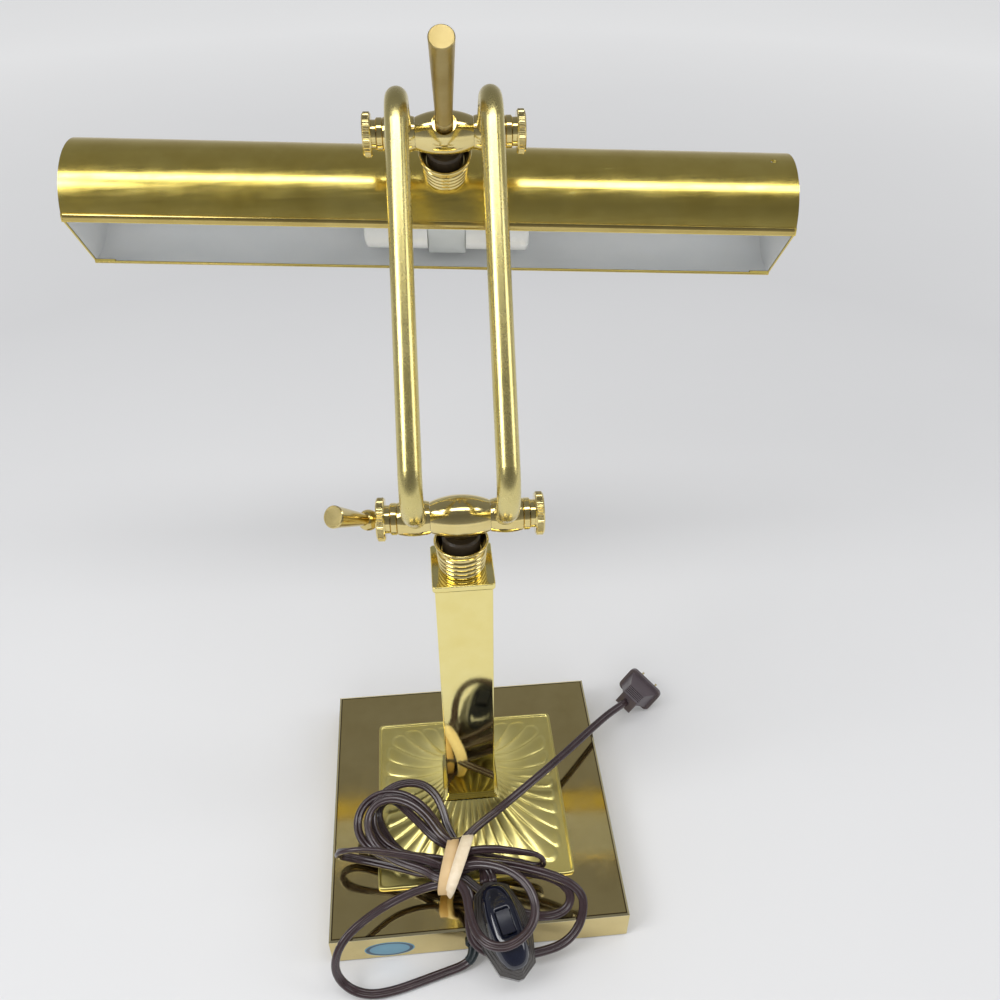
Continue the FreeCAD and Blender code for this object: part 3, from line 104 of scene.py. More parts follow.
LEFT_MIDDLE = (
    (-31.5, -60.0, 43.5), (-47.5, -52.0, 41.0), (-59.5, -42.5, 40.0), (-66.0, -31.5, 42.0),
    (-66.5, -21.5, 45.0), (-60.5, -14.5, 48.5), (-50.0, -13.5, 51.0), (-38.0, -19.0, 51.5),
    (-28.5, -28.5, 50.5), (-21.0, -41.0, 48.5))

# ---- camera -------------------------------------------------------------------------------
CAMERA_LENS = 33.23
CAMERA_SENSOR = 36
CAMERA_NEAR = 0.01
CAMERA_PLACE = (-0.013085, -0.34867, 0.57315)
CAMERA_ANGLES = (math.radians(50.2), 0, math.radians(-5.4))


def add_camera():
    data = bpy.data.cameras.new("camera")
    data.sensor_width = CAMERA_SENSOR
    data.lens = CAMERA_LENS
    data.clip_start = CAMERA_NEAR
    camera = bpy.data.objects.new("camera", data)
    camera.location = CAMERA_PLACE
    camera.rotation_euler = CAMERA_ANGLES
    bpy.context.scene.collection.objects.link(camera)
    bpy.context.scene.camera = camera


add_camera()


# ---- small tools --------------------------------------------------------------------------
def joint_record(name):
    return next(j for j in frame["record"]["behaviour"]["joints"] if j["name"] == name)


def turn_angles(count):
    """A full turn in even steps."""
    return [2 * math.pi * k / count for k in range(count)]


def oval_reach(x, y, power):
    """What (x, y) is multiplied by to lie on a rounded square of half side 1."""
    return (abs(x) ** power + abs(y) ** power) ** (-1 / power)


def link_mesh(name, bm, material, smooth=True):
    mesh = bpy.data.meshes.new(name)
    bm.to_mesh(mesh)
    bm.free()
    for polygon in mesh.polygons:
        polygon.use_smooth = smooth
    mesh.materials.append(material)
    thing = bpy.data.objects.new(name, mesh)
    bpy.context.scene.collection.objects.link(thing)
    return thing


def skin_rings(bm, rings, ends="capped", closed_ring=True):
    """Joins rings of points with quads. The ends are "capped", "open" or "joined"."""
    rows = [[bm.verts.new(p) for p in ring] for ring in rings]
    count = len(rows[0])
    last = count if closed_ring else count - 1
    following = rows[1:] + rows[:1] if ends == "joined" else rows[1:]
    for a, b in zip(rows, following):
        for k in range(last):
            m = (k + 1) % count
            bm.faces.new((a[k], a[m], b[m], b[k]))
    if ends == "capped":
        bm.faces.new(list(reversed(rows[0])))
        bm.faces.new(rows[-1])


def set_stops(node, stops):
    """Gives a colour ramp its stops, each a place and a colour."""
    elements = node.color_ramp.elements
    while len(elements) < len(stops):
        elements.new(0.5)
    for element, (place, colour) in zip(elements, stops):
        element.position = place
        element.color = (*colour, 1)


# ---- materials ----------------------------------------------------------------------------
NOISE_LOW, NOISE_HIGH = 0.3, 0.7        # a noise texture's values lie mostly between these
CLOUD_LOW, CLOUD_HIGH = 0.32, 0.68
CLOUD_SCALE = 38
SMUDGE_SCALE = 90
EVEN_GRAIN = (900, 900, 900)            # the same along every axis, where nothing is brushed
BRASS_BUMP = 0.25
LACQUER_ROUGHNESS = 0.12
PLASTIC_COAT = 0.08
PLASTIC_WEAR = 0.03
PLASTIC_BUMP = 0.2
SHADE_LINES = (0, math.radians(-1.7), math.radians(4.2))    # the brushing runs along the shade

# Square lines of painted light on the base's top, in metres from its middle: inner side, outer
# side, colour.
BORDER_FOOT = 0.0245
# The first line is painted shade, the second a painted highlight along the top's edge.
PAINTED_LIGHT_LINES = ((0.0880, 0.0888, (0.20, 0.14, 0.05)), (0.0888, 0.0901, (0.96, 0.86, 0.52)))


class Nodes:
    """Short names for building a procedural material."""

    def __init__(self, name):
        self.material = bpy.data.materials.new(name)
        self.material.use_nodes = True
        self.tree = self.material.node_tree
        self.shader = self.tree.nodes["Principled BSDF"]
        self.coords = self.tree.nodes.new("ShaderNodeTexCoord").outputs["Object"]

    def link(self, a, b):
        self.tree.links.new(a, b)

    def feed(self, name, value):
        self.link(value, self.shader.inputs[name])

    def set(self, **values):
        for name, value in values.items():
            self.shader.inputs[name.replace("_", " ")].default_value = value

    def mapped(self, scale, rotation=(0, 0, 0)):
        node = self.tree.nodes.new("ShaderNodeMapping")
        node.inputs["Scale"].default_value = scale
        node.inputs["Rotation"].default_value = rotation
        self.link(self.coords, node.inputs["Vector"])
        return node.outputs["Vector"]

    def split(self):
        node = self.tree.nodes.new("ShaderNodeSeparateXYZ")
        self.link(self.coords, node.inputs["Vector"])
        return node.outputs

    def noise(self, scale, detail=4.0, roughness=0.55, vector=None):
        node = self.tree.nodes.new("ShaderNodeTexNoise")
        node.inputs["Scale"].default_value = scale
        node.inputs["Detail"].default_value = detail
        node.inputs["Roughness"].default_value = roughness
        self.link(vector or self.coords, node.inputs["Vector"])
        return node.outputs["Fac"]

    def ramp(self, value, *stops):
        node = self.tree.nodes.new("ShaderNodeValToRGB")
        set_stops(node, stops)
        self.link(value, node.inputs["Fac"])
        return node.outputs["Color"]

    def spread(self, value, low, high, low_in=NOISE_LOW, high_in=NOISE_HIGH):
        node = self.tree.nodes.new("ShaderNodeMapRange")
        node.inputs["From Min"].default_value = low_in
        node.inputs["From Max"].default_value = high_in
        node.inputs["To Min"].default_value = low
        node.inputs["To Max"].default_value = high
        self.link(value, node.inputs["Value"])
        return node.outputs["Result"]

    def math(self, operation, a, b=0.0):
        node = self.tree.nodes.new("ShaderNodeMath")
        node.operation = operation
        for socket, value in zip(node.inputs, (a, b)):
            if isinstance(value, (int, float)):
                socket.default_value = value
            else:
                self.link(value, socket)
        return node.outputs["Value"]

    def mottle(self, noise, dark, light):
        self.feed("Base Color", self.ramp(noise, (NOISE_LOW, dark), (NOISE_HIGH, light)))

    def roughen(self, noise, low, high):
        self.feed("Roughness", self.spread(noise, low, high))

    def bump(self, height, strength, distance):
        node = self.tree.nodes.new("ShaderNodeBump")
        node.inputs["Strength"].default_value = strength
        node.inputs["Distance"].default_value = distance
        self.link(height, node.inputs["Height"])
        self.feed("Normal", node.outputs["Normal"])


def brass_nodes(name, dark, light, rough, brushed=EVEN_GRAIN, turn=(0, 0, 0), wear=0.08,
                grain=0.00002, lacquer=0.0):
    """Brass with cloudy colour, and fine lines along one direction where it is brushed."""
    n = Nodes(name)
    n.set(Metallic=1.0, Coat_Weight=lacquer, Coat_Roughness=LACQUER_ROUGHNESS)
    cloud = n.noise(CLOUD_SCALE, 5, 0.6)
    n.feed("Base Color", n.ramp(cloud, (CLOUD_LOW, dark), (CLOUD_HIGH, light)))
    fine = n.noise(1, 6, 0.7, n.mapped(brushed, turn))
    smudge = n.noise(SMUDGE_SCALE, 3, 0.6)
    uneven = n.math("ADD", n.spread(fine, -wear / 2, wear / 2),
                    n.spread(smudge, -wear / 3, wear / 3))
    n.feed("Roughness", n.math("ADD", uneven, rough))
    n.bump(fine, BRASS_BUMP, grain)
    return n


def brass(*look, **finish):
    return brass_nodes(*look, **finish).material


def brass_with_painted_edge_light():
    """Base brass, with a painted shade line and a painted highlight line round its top."""
    n = brass_nodes("base_brass", (0.66, 0.53, 0.23), (0.74, 0.61, 0.28), 0.09,
                    brushed=(30, 30, 900), wear=0.08, grain=0.00001)
    x, y, z = n.split()
    out = n.math("MAXIMUM", n.math("ABSOLUTE", x), n.math("ABSOLUTE", y))
    top = n.math("GREATER_THAN", z, BORDER_FOOT)
    # Each line is painted light: first a dark painted shade, then a bright painted highlight.
    for inner, outer, colour in PAINTED_LIGHT_LINES:
        line = n.math("MULTIPLY", n.math("GREATER_THAN", out, inner),
                      n.math("LESS_THAN", out, outer))
        mix = n.tree.nodes.new("ShaderNodeMixRGB")
        mix.inputs["Color2"].default_value = (*colour, 1)
        n.link(n.math("MULTIPLY", line, top), mix.inputs["Fac"])
        n.link(n.shader.inputs["Base Color"].links[0].from_socket, mix.inputs["Color1"])
        n.feed("Base Color", mix.outputs["Color"])
    return n.material


def plastic(name, dark, light, rough, scale=400, coat=0.0, depth=0.00001):
    n = Nodes(name)
    n.set(Coat_Weight=coat, Coat_Roughness=PLASTIC_COAT)
    n.mottle(n.noise(scale / 8, 2), dark, light)
    n.roughen(n.noise(scale / 3, 3), rough - PLASTIC_WEAR, rough + PLASTIC_WEAR)
    n.bump(n.noise(scale * 2, 3), PLASTIC_BUMP, depth)
    return n.material


def felt():
    n = Nodes("felt")
    n.set(Roughness=0.95, Sheen_Weight=0.4)
    n.mottle(n.noise(900), (0.01, 0.025, 0.014), (0.03, 0.06, 0.035))
    n.bump(n.noise(1600, 5), 0.6, 0.0002)
    return n.material


def enamel():
    n = Nodes("enamel")
    n.set(Coat_Weight=0.2, Coat_Roughness=0.2)
    n.mottle(n.noise(24), (0.82, 0.84, 0.85), (0.88, 0.89, 0.89))
    n.roughen(n.noise(120), 0.34, 0.46)
    n.bump(n.noise(260, 3), 0.2, 0.00006)
    return n.material


MATERIALS = {
    "felt": felt(),
    "iron": plastic("iron", (0.02, 0.02, 0.022), (0.05, 0.05, 0.055), 0.7),
    "base_brass": brass_with_painted_edge_light(),
    "panel_brass": brass("panel_brass", (0.91, 0.79, 0.27), (0.97, 0.86, 0.34), 0.32, wear=0.06,
                         grain=0.000006),
    "column_brass": brass("column_brass", (0.90, 0.77, 0.30), (0.95, 0.84, 0.37), 0.05,
                          wear=0.03),
    "turned_brass": brass("turned_brass", (0.76, 0.61, 0.24), (0.84, 0.71, 0.33), 0.13,
                          lacquer=0.3),
    "tube_brass": brass("tube_brass", (0.66, 0.56, 0.21), (0.74, 0.64, 0.28), 0.27, lacquer=0.1,
                        brushed=(160, 160, 160), wear=0.03, grain=0.000001),
    "shade_brass": brass("shade_brass", (0.70, 0.54, 0.12), (0.80, 0.65, 0.18), 0.20,
                         brushed=(4, 500, 500), turn=SHADE_LINES, wear=0.10, lacquer=0.15,
                         grain=0.000012),
    "cap_brass": brass("cap_brass", (0.70, 0.54, 0.12), (0.80, 0.65, 0.18), 0.24, lacquer=0.3),
    "steel": brass("steel", (0.42, 0.42, 0.42), (0.55, 0.55, 0.55), 0.35),
    "bracket_steel": plastic("bracket_steel", (0.60, 0.62, 0.60), (0.68, 0.70, 0.68), 0.42,
                             coat=0.2),
    # Dark brown for what fills each neck's cup round the barrel.
    "black_washer": plastic("black_washer", (0.034, 0.024, 0.014), (0.052, 0.038, 0.024), 0.42),
    "socket_white": plastic("socket_white", (0.80, 0.80, 0.76), (0.86, 0.86, 0.83), 0.25,
                            coat=0.4),
    "shell_brass": brass("shell_brass", (0.72, 0.56, 0.22), (0.80, 0.66, 0.30), 0.2),
    "cord_brown": plastic("cord_brown", (0.030, 0.016, 0.018), (0.042, 0.024, 0.027), 0.24,
                          scale=900, coat=0.5, depth=0.000004),
    "band_tan": plastic("band_tan", (0.62, 0.42, 0.20), (0.72, 0.52, 0.28), 0.6, scale=500,
                        depth=0.00003),
    "plug_brown": plastic("plug_brown", (0.072, 0.055, 0.062), (0.10, 0.080, 0.090), 0.36,
                          coat=0.2),
    "blade_brass": brass("blade_brass", (0.70, 0.60, 0.34), (0.80, 0.70, 0.42), 0.25),
    "switch_brown": plastic("switch_brown", (0.028, 0.024, 0.022), (0.046, 0.040, 0.036), 0.30,
                            coat=0.5),
    "switch_black": plastic("switch_black", (0.004, 0.005, 0.012), (0.007, 0.009, 0.022), 0.10,
                            coat=0.8),
    "bushing_black": plastic("bushing_black", (0.006, 0.012, 0.014), (0.014, 0.024, 0.028),
                             0.40),
}
FINISH_AND_PAINTED_SHADE = {
    # The upper lever is painted darker than the other turned brass: painted shade that dims the
    # lamps' reflection on it.
    "upper_lever": brass("upper_lever_painted_shade", (0.42, 0.32, 0.12), (0.50, 0.40, 0.18), 0.38,
                         grain=0.000004),
    "lower_lever": brass("lower_lever_brass", (0.66, 0.52, 0.20), (0.74, 0.61, 0.27), 0.20,
                         grain=0.000004),
    "switch_rocker": plastic("rocker_black", (0.005, 0.006, 0.014), (0.009, 0.011, 0.026), 0.34),
}


def dress_nodes():
    """Gives every CAD node its own finish, or else its slot's material; the upper lever's finish
    carries painted shade.
    """
    for part in frame["record"]["subparts"]:
        node = frame["nodes"][part["node"]]
        node.data.materials.clear()
        node.data.materials.append(
            FINISH_AND_PAINTED_SHADE.get(part["node"], MATERIALS[part["material_slot"]]))


dress_nodes()

# ---- glossy dome of the switch ------------------------------------------------------------
SWITCH_PLACE = Vector((13.3, -93.2, 27.4)) * MM     # middle of its underside
SWITCH_AXES = (Vector((-0.965926, -0.258819, 0.0)), Vector((0.254887, -0.951251, -0.173648)),
               Vector((0.044943, -0.167731, 0.984808)))     # across, along and up
DOME_FOOT = 8.4                 # above SWITCH_PLACE
DOME_RISE = 7.6
DOME_HALF = (11.0, 24.6)
DOME_POWER = 2.5                # of the rounded outline: the higher, the sharper its corners
WELL_HALF = (4.4, 7.4)
WELL_DEPTH = 3.4
WELL_EDGE = 0.15
WELL_POWER = 10.0


def switch_point(x, y, z):
    across, along, up = SWITCH_AXES
    return SWITCH_PLACE + (across * x + along * y + up * z) * MM


def dome_ring(half, power, z, steps=96):
    ring = []
    for angle in turn_angles(steps):
        c, s = math.cos(angle), math.sin(angle)
        reach = oval_reach(c / half[0], s / half[1], power)
        ring.append(switch_point(reach * c, reach * s, z))
    return ring


def add_dome(rings=14):
    """Smooth crowned cover that comes up to the well round the rocker."""
    rows = []
    for k in range(rings + 1):
        a = math.pi / 2 * k / rings
        inward = 1 - math.cos(a)
        half = [foot + (well - foot) * inward for foot, well in zip(DOME_HALF, WELL_HALF)]
        power = DOME_POWER + (WELL_POWER - DOME_POWER) * inward ** 3
        rows.append(dome_ring(half, power, DOME_FOOT + DOME_RISE * math.sin(a)))
    top = DOME_FOOT + DOME_RISE
    for z in (top - WELL_EDGE, top - WELL_DEPTH):
        rows.append(dome_ring(WELL_HALF, WELL_POWER, z))
    bm = bmesh.new()
    skin_rings(bm, rows)
    dome = link_mesh("switch_dome", bm, MATERIALS["switch_black"])
    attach(dome, "base")
    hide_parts("switch_upper_half")
    return dome


SWITCH_DOME = add_dome()

# ---- band round the hank ------------------------------------------------------------------
BAND_DEEP, BAND_HIGH = 15.2, 10.4       # half sizes of the oval
BAND_POWER = 2.6
BAND_THICK = 1.0 * MM
BAND_SECTION = ((-1, 0), (-0.94, 1), (0, 1.15), (0.94, 1), (1, 0), (0.94, -0.3), (-0.94, -0.3))
BAND_STEPS = 96
TWIST_ANGLE = 3.5                       # where the twisted turn is twisted, and how far along
TWIST_REACH = 0.6


def band_pale():
    n = Nodes("band_pale")
    n.mottle(n.noise(260), (0.78, 0.64, 0.44), (0.88, 0.76, 0.58))
    n.roughen(n.noise(700), 0.5, 0.66)
    n.bump(n.noise(900, 3), 0.4, 0.00008)
    return n.material


def band_turn(name, material, width, shift, tilt, lean, grow, widest, narrow, twist):
    """One closed turn of a rubber band: an oval round the strands, wide at the front."""
    rings = []
    centre = Vector(WAIST) * MM
    for angle in turn_angles(BAND_STEPS):
        c, s = math.cos(angle), math.sin(angle)
        oval = oval_reach(c, s, BAND_POWER)
        y = (BAND_DEEP + grow) * oval * c * MM
        z = (BAND_HIGH + grow) * oval * s * MM
        x = (shift + tilt * oval * c + lean * oval * s) * MM
        place = centre + Vector((x, y, z))
        outward = Vector((0, c / BAND_DEEP, s / BAND_HIGH)).normalized()
        half = width * (1 - narrow * (1 - math.cos(angle - widest))) / 2 * MM
        twisted = twist * math.exp(-((angle - TWIST_ANGLE) / TWIST_REACH) ** 2)
        turned = Quaternion(Vector((0, -s, c)), twisted)
        wide = turned @ Vector((1, 0, 0))
        thick = turned @ outward
        rings.append([place + wide * half * u + thick * BAND_THICK * v
                      for u, v in BAND_SECTION])
    bm = bmesh.new()
    skin_rings(bm, rings, ends="joined")
    band = link_mesh(name, bm, material)
    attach(band, "base")
    return band


BAND = band_turn("band_wide_turn", MATERIALS["band_tan"], width=9.4, shift=-3.0, tilt=3.4,
                 lean=0.8, grow=0.0, widest=2.6, narrow=0.18, twist=0.0)
BAND_OVER = band_turn("band_twisted_turn", band_pale(), width=8.0, shift=2.6, tilt=6.2,
                      lean=2.2, grow=1.3, widest=1.5, narrow=0.30, twist=1.0)
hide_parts("bundle_band")

# ---- cord ---------------------------------------------------------------------------------
SLOT_COLUMNS_MIDDLE = 1.5
SLOT_SIDE = 5.5                 # half of a strand's way through the band
SLOT_LEAN = 2.2
SLOT_BACK = 7.4
SLOT_UP = 5.6
CURVE_STEPS = 8
NEAREST = 0.2 * MM              # a point nearer than this to the next one is dropped
SECTION_STEPS = 13
CORD_FACING = Vector((0, -0.5, 0.87))
KEEP, SETTLE = 0.93, 0.07       # shares of the last side and of the level one
TWIST_LENGTH = 0.09             # metres of cord for one radian of the slow twist's wave
FIRST_TWIST = 0.35              # how far each cord twists to either side, in radians
SECOND_TWIST = 0.4


def scaled(points):
    return [Vector(p) * MM for p in points]


def slot(column, row, side=0.0):
    """A place inside the band: columns from the back, rows from below, side from its middle."""
    x, y, z = WAIST
    back = SLOT_COLUMNS_MIDDLE - column
    return (x + SLOT_SIDE * side + SLOT_LEAN * back, y + SLOT_BACK * back,
            z + SLOT_UP * (row - 1))


def first_cord_points():
    points = [*ROUTE_IN, slot(3, 1, -1), slot(3, 1, 1), *RIGHT_OUTER]
    points += [slot(1, 1, 1), slot(1, 1, -1), *LEFT_BACK]
    points += [slot(0, 0, 0.4), *RIGHT_MIDDLE]
    points += [slot(2, 0, 1), slot(2, 0, -1), *LEFT_LOW]
    points += [slot(0, 1, -0.2), *RIGHT_FOLD]
    points += [slot(0.9, 2, 0.6), *LEFT_OUTER]
    return points + [slot(1, 0, -1), slot(1, 0, 1), *TO_SWITCH]


def second_cord_points():
    points = [*FROM_SWITCH, slot(2, 1, 1), slot(2, 1, -1), *LEFT_FOLD]
    points += [slot(2, 2, -1), slot(2, 2, 1), *RIGHT_FRONT]
    points += [slot(3, 2, 0.6), slot(3, 2, -1.2), *LEFT_MIDDLE]
    return points + [*OUT_OF_BAND, *ROUTE_OUT]


def centreline(name, points):
    """Points along the smooth curve that the route's points control."""
    curve = bpy.data.curves.new(name, "CURVE")
    curve.dimensions = "3D"
    curve.resolution_u = CURVE_STEPS
    spline = curve.splines.new("NURBS")
    spline.points.add(len(points) - 1)
    for target, p in zip(spline.points, points):
        target.co = (*p, 1)
    spline.order_u = 3
    spline.use_endpoint_u = True
    thing = bpy.data.objects.new(name, curve)
    mesh = bpy.data.meshes.new_from_object(thing)
    line = [v.co.copy() for v in mesh.vertices]
    bpy.data.objects.remove(thing)
    bpy.data.meshes.remove(mesh)
    return [a for a, b in zip(line, line[1:]) if (b - a).length > NEAREST] + [line[-1]]


def twin_section():
    """Section of a flat two-core cord: two round lobes that meet in a groove."""
    lobe = CORD_THICK / 2
    offset = CORD_WIDTH / 2 - lobe
    meet = math.acos(-offset / lobe)
    angles = [meet * (2 * k / SECTION_STEPS - 1) for k in range(SECTION_STEPS)]
    right = [(offset + lobe * math.cos(a), lobe * math.sin(a)) for a in angles]
    return right + [(-x, -y) for x, y in right]


def sweep(bm, line, section, twist=0.0, sizes=None):
    """Sweeps a section along a line, its flat side mostly up, with a slow twist."""
    side = None
    rings = []
    travelled = 0.0
    for k, p in enumerate(line):
        ahead = (line[min(k + 1, len(line) - 1)] - line[max(k - 1, 0)]).normalized()
        flat = CORD_FACING.cross(ahead).normalized()
        if side is not None:
            carried = (side - ahead * side.dot(ahead)).normalized()
            flat = (carried * KEEP + flat * SETTLE).normalized()
            travelled += (p - line[k - 1]).length
        side = (flat - ahead * flat.dot(ahead)).normalized()
        turned = Quaternion(ahead, twist * math.sin(travelled / TWIST_LENGTH)) @ side
        up = ahead.cross(turned)
        size = sizes[k] if sizes else 1.0
        rings.append([p + (turned * x + up * y) * size for x, y in section])
    skin_rings(bm, rings)


def add_cord(name, points, replaced, twist):
    line = centreline(name, scaled(points))
    bm = bmesh.new()
    sweep(bm, line, twin_section(), twist)
    cord = link_mesh(name, bm, MATERIALS["cord_brown"])
    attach(cord, "base")
    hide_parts(*replaced)


def cord_to_switch():
    add_cord("cord_to_switch", first_cord_points(), ["cord_to_bundle"],
             FIRST_TWIST)


def cord_to_plug():
    add_cord("cord_to_plug_line", second_cord_points(), ["cord_to_plug", "cord_bundle"],
             SECOND_TWIST)


cord_to_switch()
cord_to_plug()

# ---- fluted panel -------------------------------------------------------------------------
BASE_TOP = 25.4 * MM
PANEL_TOP = 26.2 * MM
PANEL_HALF = 61 * MM
PANEL_LIP = 1.6 * MM
PANEL_LIP_HEIGHT = 0.9 * MM
PANEL_SOFT = 0.25 * MM          # how far the lip's edges are rounded
LIP_POWER = 56.0
MOUND_INNER = 17.4 * MM
MOUND_OUTER = 56.8 * MM
MOUND_INNER_POWER = 9.0
MOUND_OUTER_POWER = 6.5
MOUND_HEIGHT = 21 * MM
MOUND_HOLLOW = 2.3              # of its profile: the higher, the hollower
FLUTES = 36
FLUTE_STEPS = 14
FLUTE_POWER = 2.2
FLUTE_DEPTH = 1.5 * MM
FLUTE_START = 0.1               # of the half wave that the depth follows from inside outward
FLUTE_LEAST = 0.45              # parts of the full depth: the least, and what the tips keep
FLUTE_OUTER = 0.75
TIP_ROUND = 0.11
TIP_FADE = 0.07


def square_point(half, power, angle, z):
    c, s = math.cos(angle), math.sin(angle)
    radius = half * oval_reach(c, s, power)
    return Vector((radius * c, radius * s, z))


def flute_height(t, angle):
    """Rounded petals with fine valleys between them, each ending in a round tip."""
    across = (FLUTES * angle / (2 * math.pi)) % 1.0 * 2 - 1
    crest = math.sqrt(max(0.0, 1 - abs(across) ** FLUTE_POWER))
    swell = math.sin(math.pi * min(t * (1 - FLUTE_START) + FLUTE_START, 1.0))
    depth = FLUTE_DEPTH * (FLUTE_LEAST + (1 - FLUTE_LEAST) * swell)
    tip = 1.0 - TIP_ROUND * (1 - crest)
    fade = max(0.0, min(1.0, (tip - t) / TIP_FADE))
    rise = max(depth, FLUTE_OUTER * FLUTE_DEPTH * t)
    return rise * crest * fade * fade * (3 - 2 * fade)


def panel_ring(t, angles):
    half = MOUND_INNER + (MOUND_OUTER - MOUND_INNER) * t
    power = MOUND_INNER_POWER + (MOUND_OUTER_POWER - MOUND_INNER_POWER) * t
    ground = PANEL_TOP + MOUND_HEIGHT * (1 - t) ** MOUND_HOLLOW
    return [square_point(half, power, a, ground + flute_height(t, a)) for a in angles]


def add_panel(rings=44):
    """Fluted mound round the column's foot, a flat strip, and a small lip at the edge."""
    angles = turn_angles(FLUTES * FLUTE_STEPS)
    rows = [panel_ring(k / rings, angles) for k in range(rings + 1)]
    rows.append([square_point(MOUND_OUTER + PANEL_SOFT, MOUND_OUTER_POWER, a, PANEL_TOP)
                 for a in angles])
    inside = PANEL_HALF - PANEL_LIP
    rim = PANEL_TOP + PANEL_LIP_HEIGHT
    for half, z in ((inside - 2 * PANEL_SOFT, PANEL_TOP), (inside - PANEL_SOFT, PANEL_TOP),
                    (inside, PANEL_TOP + PANEL_SOFT), (inside + PANEL_SOFT, rim),
                    (PANEL_HALF - PANEL_SOFT, rim), (PANEL_HALF, rim - PANEL_SOFT),
                    (PANEL_HALF, BASE_TOP)):
        rows.append([square_point(half, LIP_POWER, a, z) for a in angles])
    bm = bmesh.new()
    skin_rings(bm, rows, ends="open")
    panel = link_mesh("fluted_panel", bm, MATERIALS["panel_brass"])
    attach(panel, "base")
    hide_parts("sunburst_panel")


add_panel()

# ---- shade lining -------------------------------------------------------------------------
SHADE_ALONG = Vector((0.99691, -0.072738, -0.029643))
SHADE_AXIS_DEPTH = 67.8 * MM
SHADE_SHIFT = -6.4              # millimetres, as the next two
SHADE_HALF = 202
CAP_SHEET = 0.95
SHADE_LEFT = (SHADE_SHIFT - SHADE_HALF + CAP_SHEET) * MM
SHADE_RIGHT = (SHADE_SHIFT + SHADE_HALF - CAP_SHEET) * MM
CAP_FLANGE = 11.2 * MM
OPEN_HALF = 42.1                # degrees: half of the shell's opening, and where it faces
OPEN_TURN = 87.1
LINING_RADIUS = 33.62 * MM
LINING_CAP_RADIUS = 32.8 * MM
LINING_STEP = 0.3 * MM
LINING_SPACING = 38 * MM
LINING_STATIONS = 9


def shade_matrix():
    joint = joint_record("shade_swivel")
    up = Vector(joint["axis"]).normalized()
    along = (SHADE_ALONG - up * SHADE_ALONG.dot(up)).normalized()
    turn = Matrix((along, up.cross(along), up)).transposed().to_4x4()
    return Matrix.Translation(Vector(joint["pos_m"])) @ turn


SHADE_FRAME = shade_matrix()


def lining_ring(x, radius, count=72):
    points = []
    for k in range(count + 1):
        degrees = OPEN_HALF + (360 - 2 * OPEN_HALF) * k / count - OPEN_TURN
        a = math.radians(degrees)
        local = Vector((x, radius * math.sin(a), -SHADE_AXIS_DEPTH - radius * math.cos(a)))
        points.append(SHADE_FRAME @ local)
    return points


def add_lining():
    """White enamel inside the shell, stepping in over the end caps' flanges."""
    left, right = SHADE_LEFT + CAP_FLANGE, SHADE_RIGHT - CAP_FLANGE
    stations = [(SHADE_LEFT, LINING_CAP_RADIUS), (left, LINING_CAP_RADIUS),
                (left + LINING_STEP, LINING_RADIUS)]
    stations += [(left + LINING_SPACING * k, LINING_RADIUS)
                 for k in range(1, LINING_STATIONS + 1)]
    stations += [(right - LINING_STEP, LINING_RADIUS), (right, LINING_CAP_RADIUS),
                 (SHADE_RIGHT, LINING_CAP_RADIUS)]
    bm = bmesh.new()
    skin_rings(bm, [lining_ring(x, radius) for x, radius in stations], closed_ring=False)
    lining = link_mesh("shade_lining", bm, enamel())
    for polygon in lining.data.polygons:
        polygon.use_smooth = len(polygon.vertices) == 4
    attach(lining, "shade")


add_lining()

# ---- rolled edges of the shade ------------------------------------------------------------
HEM_RADIUS = 34.75 * MM
HEM_HALF_WIDTH = 2.35 * MM
HEM_HALF_THICK = 0.9 * MM
HEM_MIDDLE = OPEN_HALF + 3.5    # degrees
HEM_PAST = 0.3 * MM             # its smaller ends stand this far past the lining's ends
HEM_FULL = 0.4 * MM             # and it has its full size this far inside them
HEM_END_SIZE = 0.8
# The rolled edges are painted darker than the shade: painted shade for the dark line along each
# edge.
EDGE_ROLL_PAINTED_SHADE = brass("edge_roll_painted_shade", (0.50, 0.38, 0.12), (0.60, 0.47, 0.17), 0.16, grain=0.000004)


def add_edge(name, degrees, count=20):
    """Flattened roll along one long edge of the shell, where its sheet is folded back."""
    a = math.radians(degrees - OPEN_TURN)
    radial = Vector((0, math.sin(a), -math.cos(a)))
    around = Vector((0, math.cos(a), math.sin(a)))
    middle = radial * HEM_RADIUS - Vector((0, 0, SHADE_AXIS_DEPTH))
    rings = []
    for x, size in ((SHADE_LEFT - HEM_PAST, HEM_END_SIZE), (SHADE_LEFT + HEM_FULL, 1.0),
                    (0.0, 1.0), (SHADE_RIGHT - HEM_FULL, 1.0),
                    (SHADE_RIGHT + HEM_PAST, HEM_END_SIZE)):
        ring = []
        for t in turn_angles(count):
            roll = around * HEM_HALF_WIDTH * math.cos(t) + radial * HEM_HALF_THICK * math.sin(t)
            ring.append(SHADE_FRAME @ (Vector((x, 0, 0)) + middle + size * roll))
        rings.append(ring)
    bm = bmesh.new()
    skin_rings(bm, rings)
    edge = link_mesh(name, bm, EDGE_ROLL_PAINTED_SHADE)
    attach(edge, "shade")


add_edge("shade_front_edge", HEM_MIDDLE)
add_edge("shade_back_edge", 360 - HEM_MIDDLE)

# ---- knurled rims -------------------------------------------------------------------------
PIVOT_AXIS = Vector((0.99956, -0.029666, 0))
KNOB_RADIUS = 10.75 * MM
KNOB_FACE = 41.45 * MM          # from the pivot's middle
KNOB_LENGTH = 4.4 * MM
KNOB_EDGE = 0.6 * MM
TEETH = 90
TOOTH = (-0.25, 0.0, 1.0, 1.0)  # how high each tooth's four points stand
TOOTH_HEIGHT = 0.26
TOOTH_FULL, TOOTH_SUNK = 0.5, -0.3
TOOTH_SLOPE = 0.25 * MM
KNURL_PROUD = 0.05
KNOBS = (("lower_right_nut", "lower_right_nut_turn", 1),
         ("lower_left_nut", "lower_left_nut_turn", -1),
         ("upper_right_nut", "upper_right_nut_turn", 1),
         ("upper_left_nut", "upper_left_nut_turn", -1))


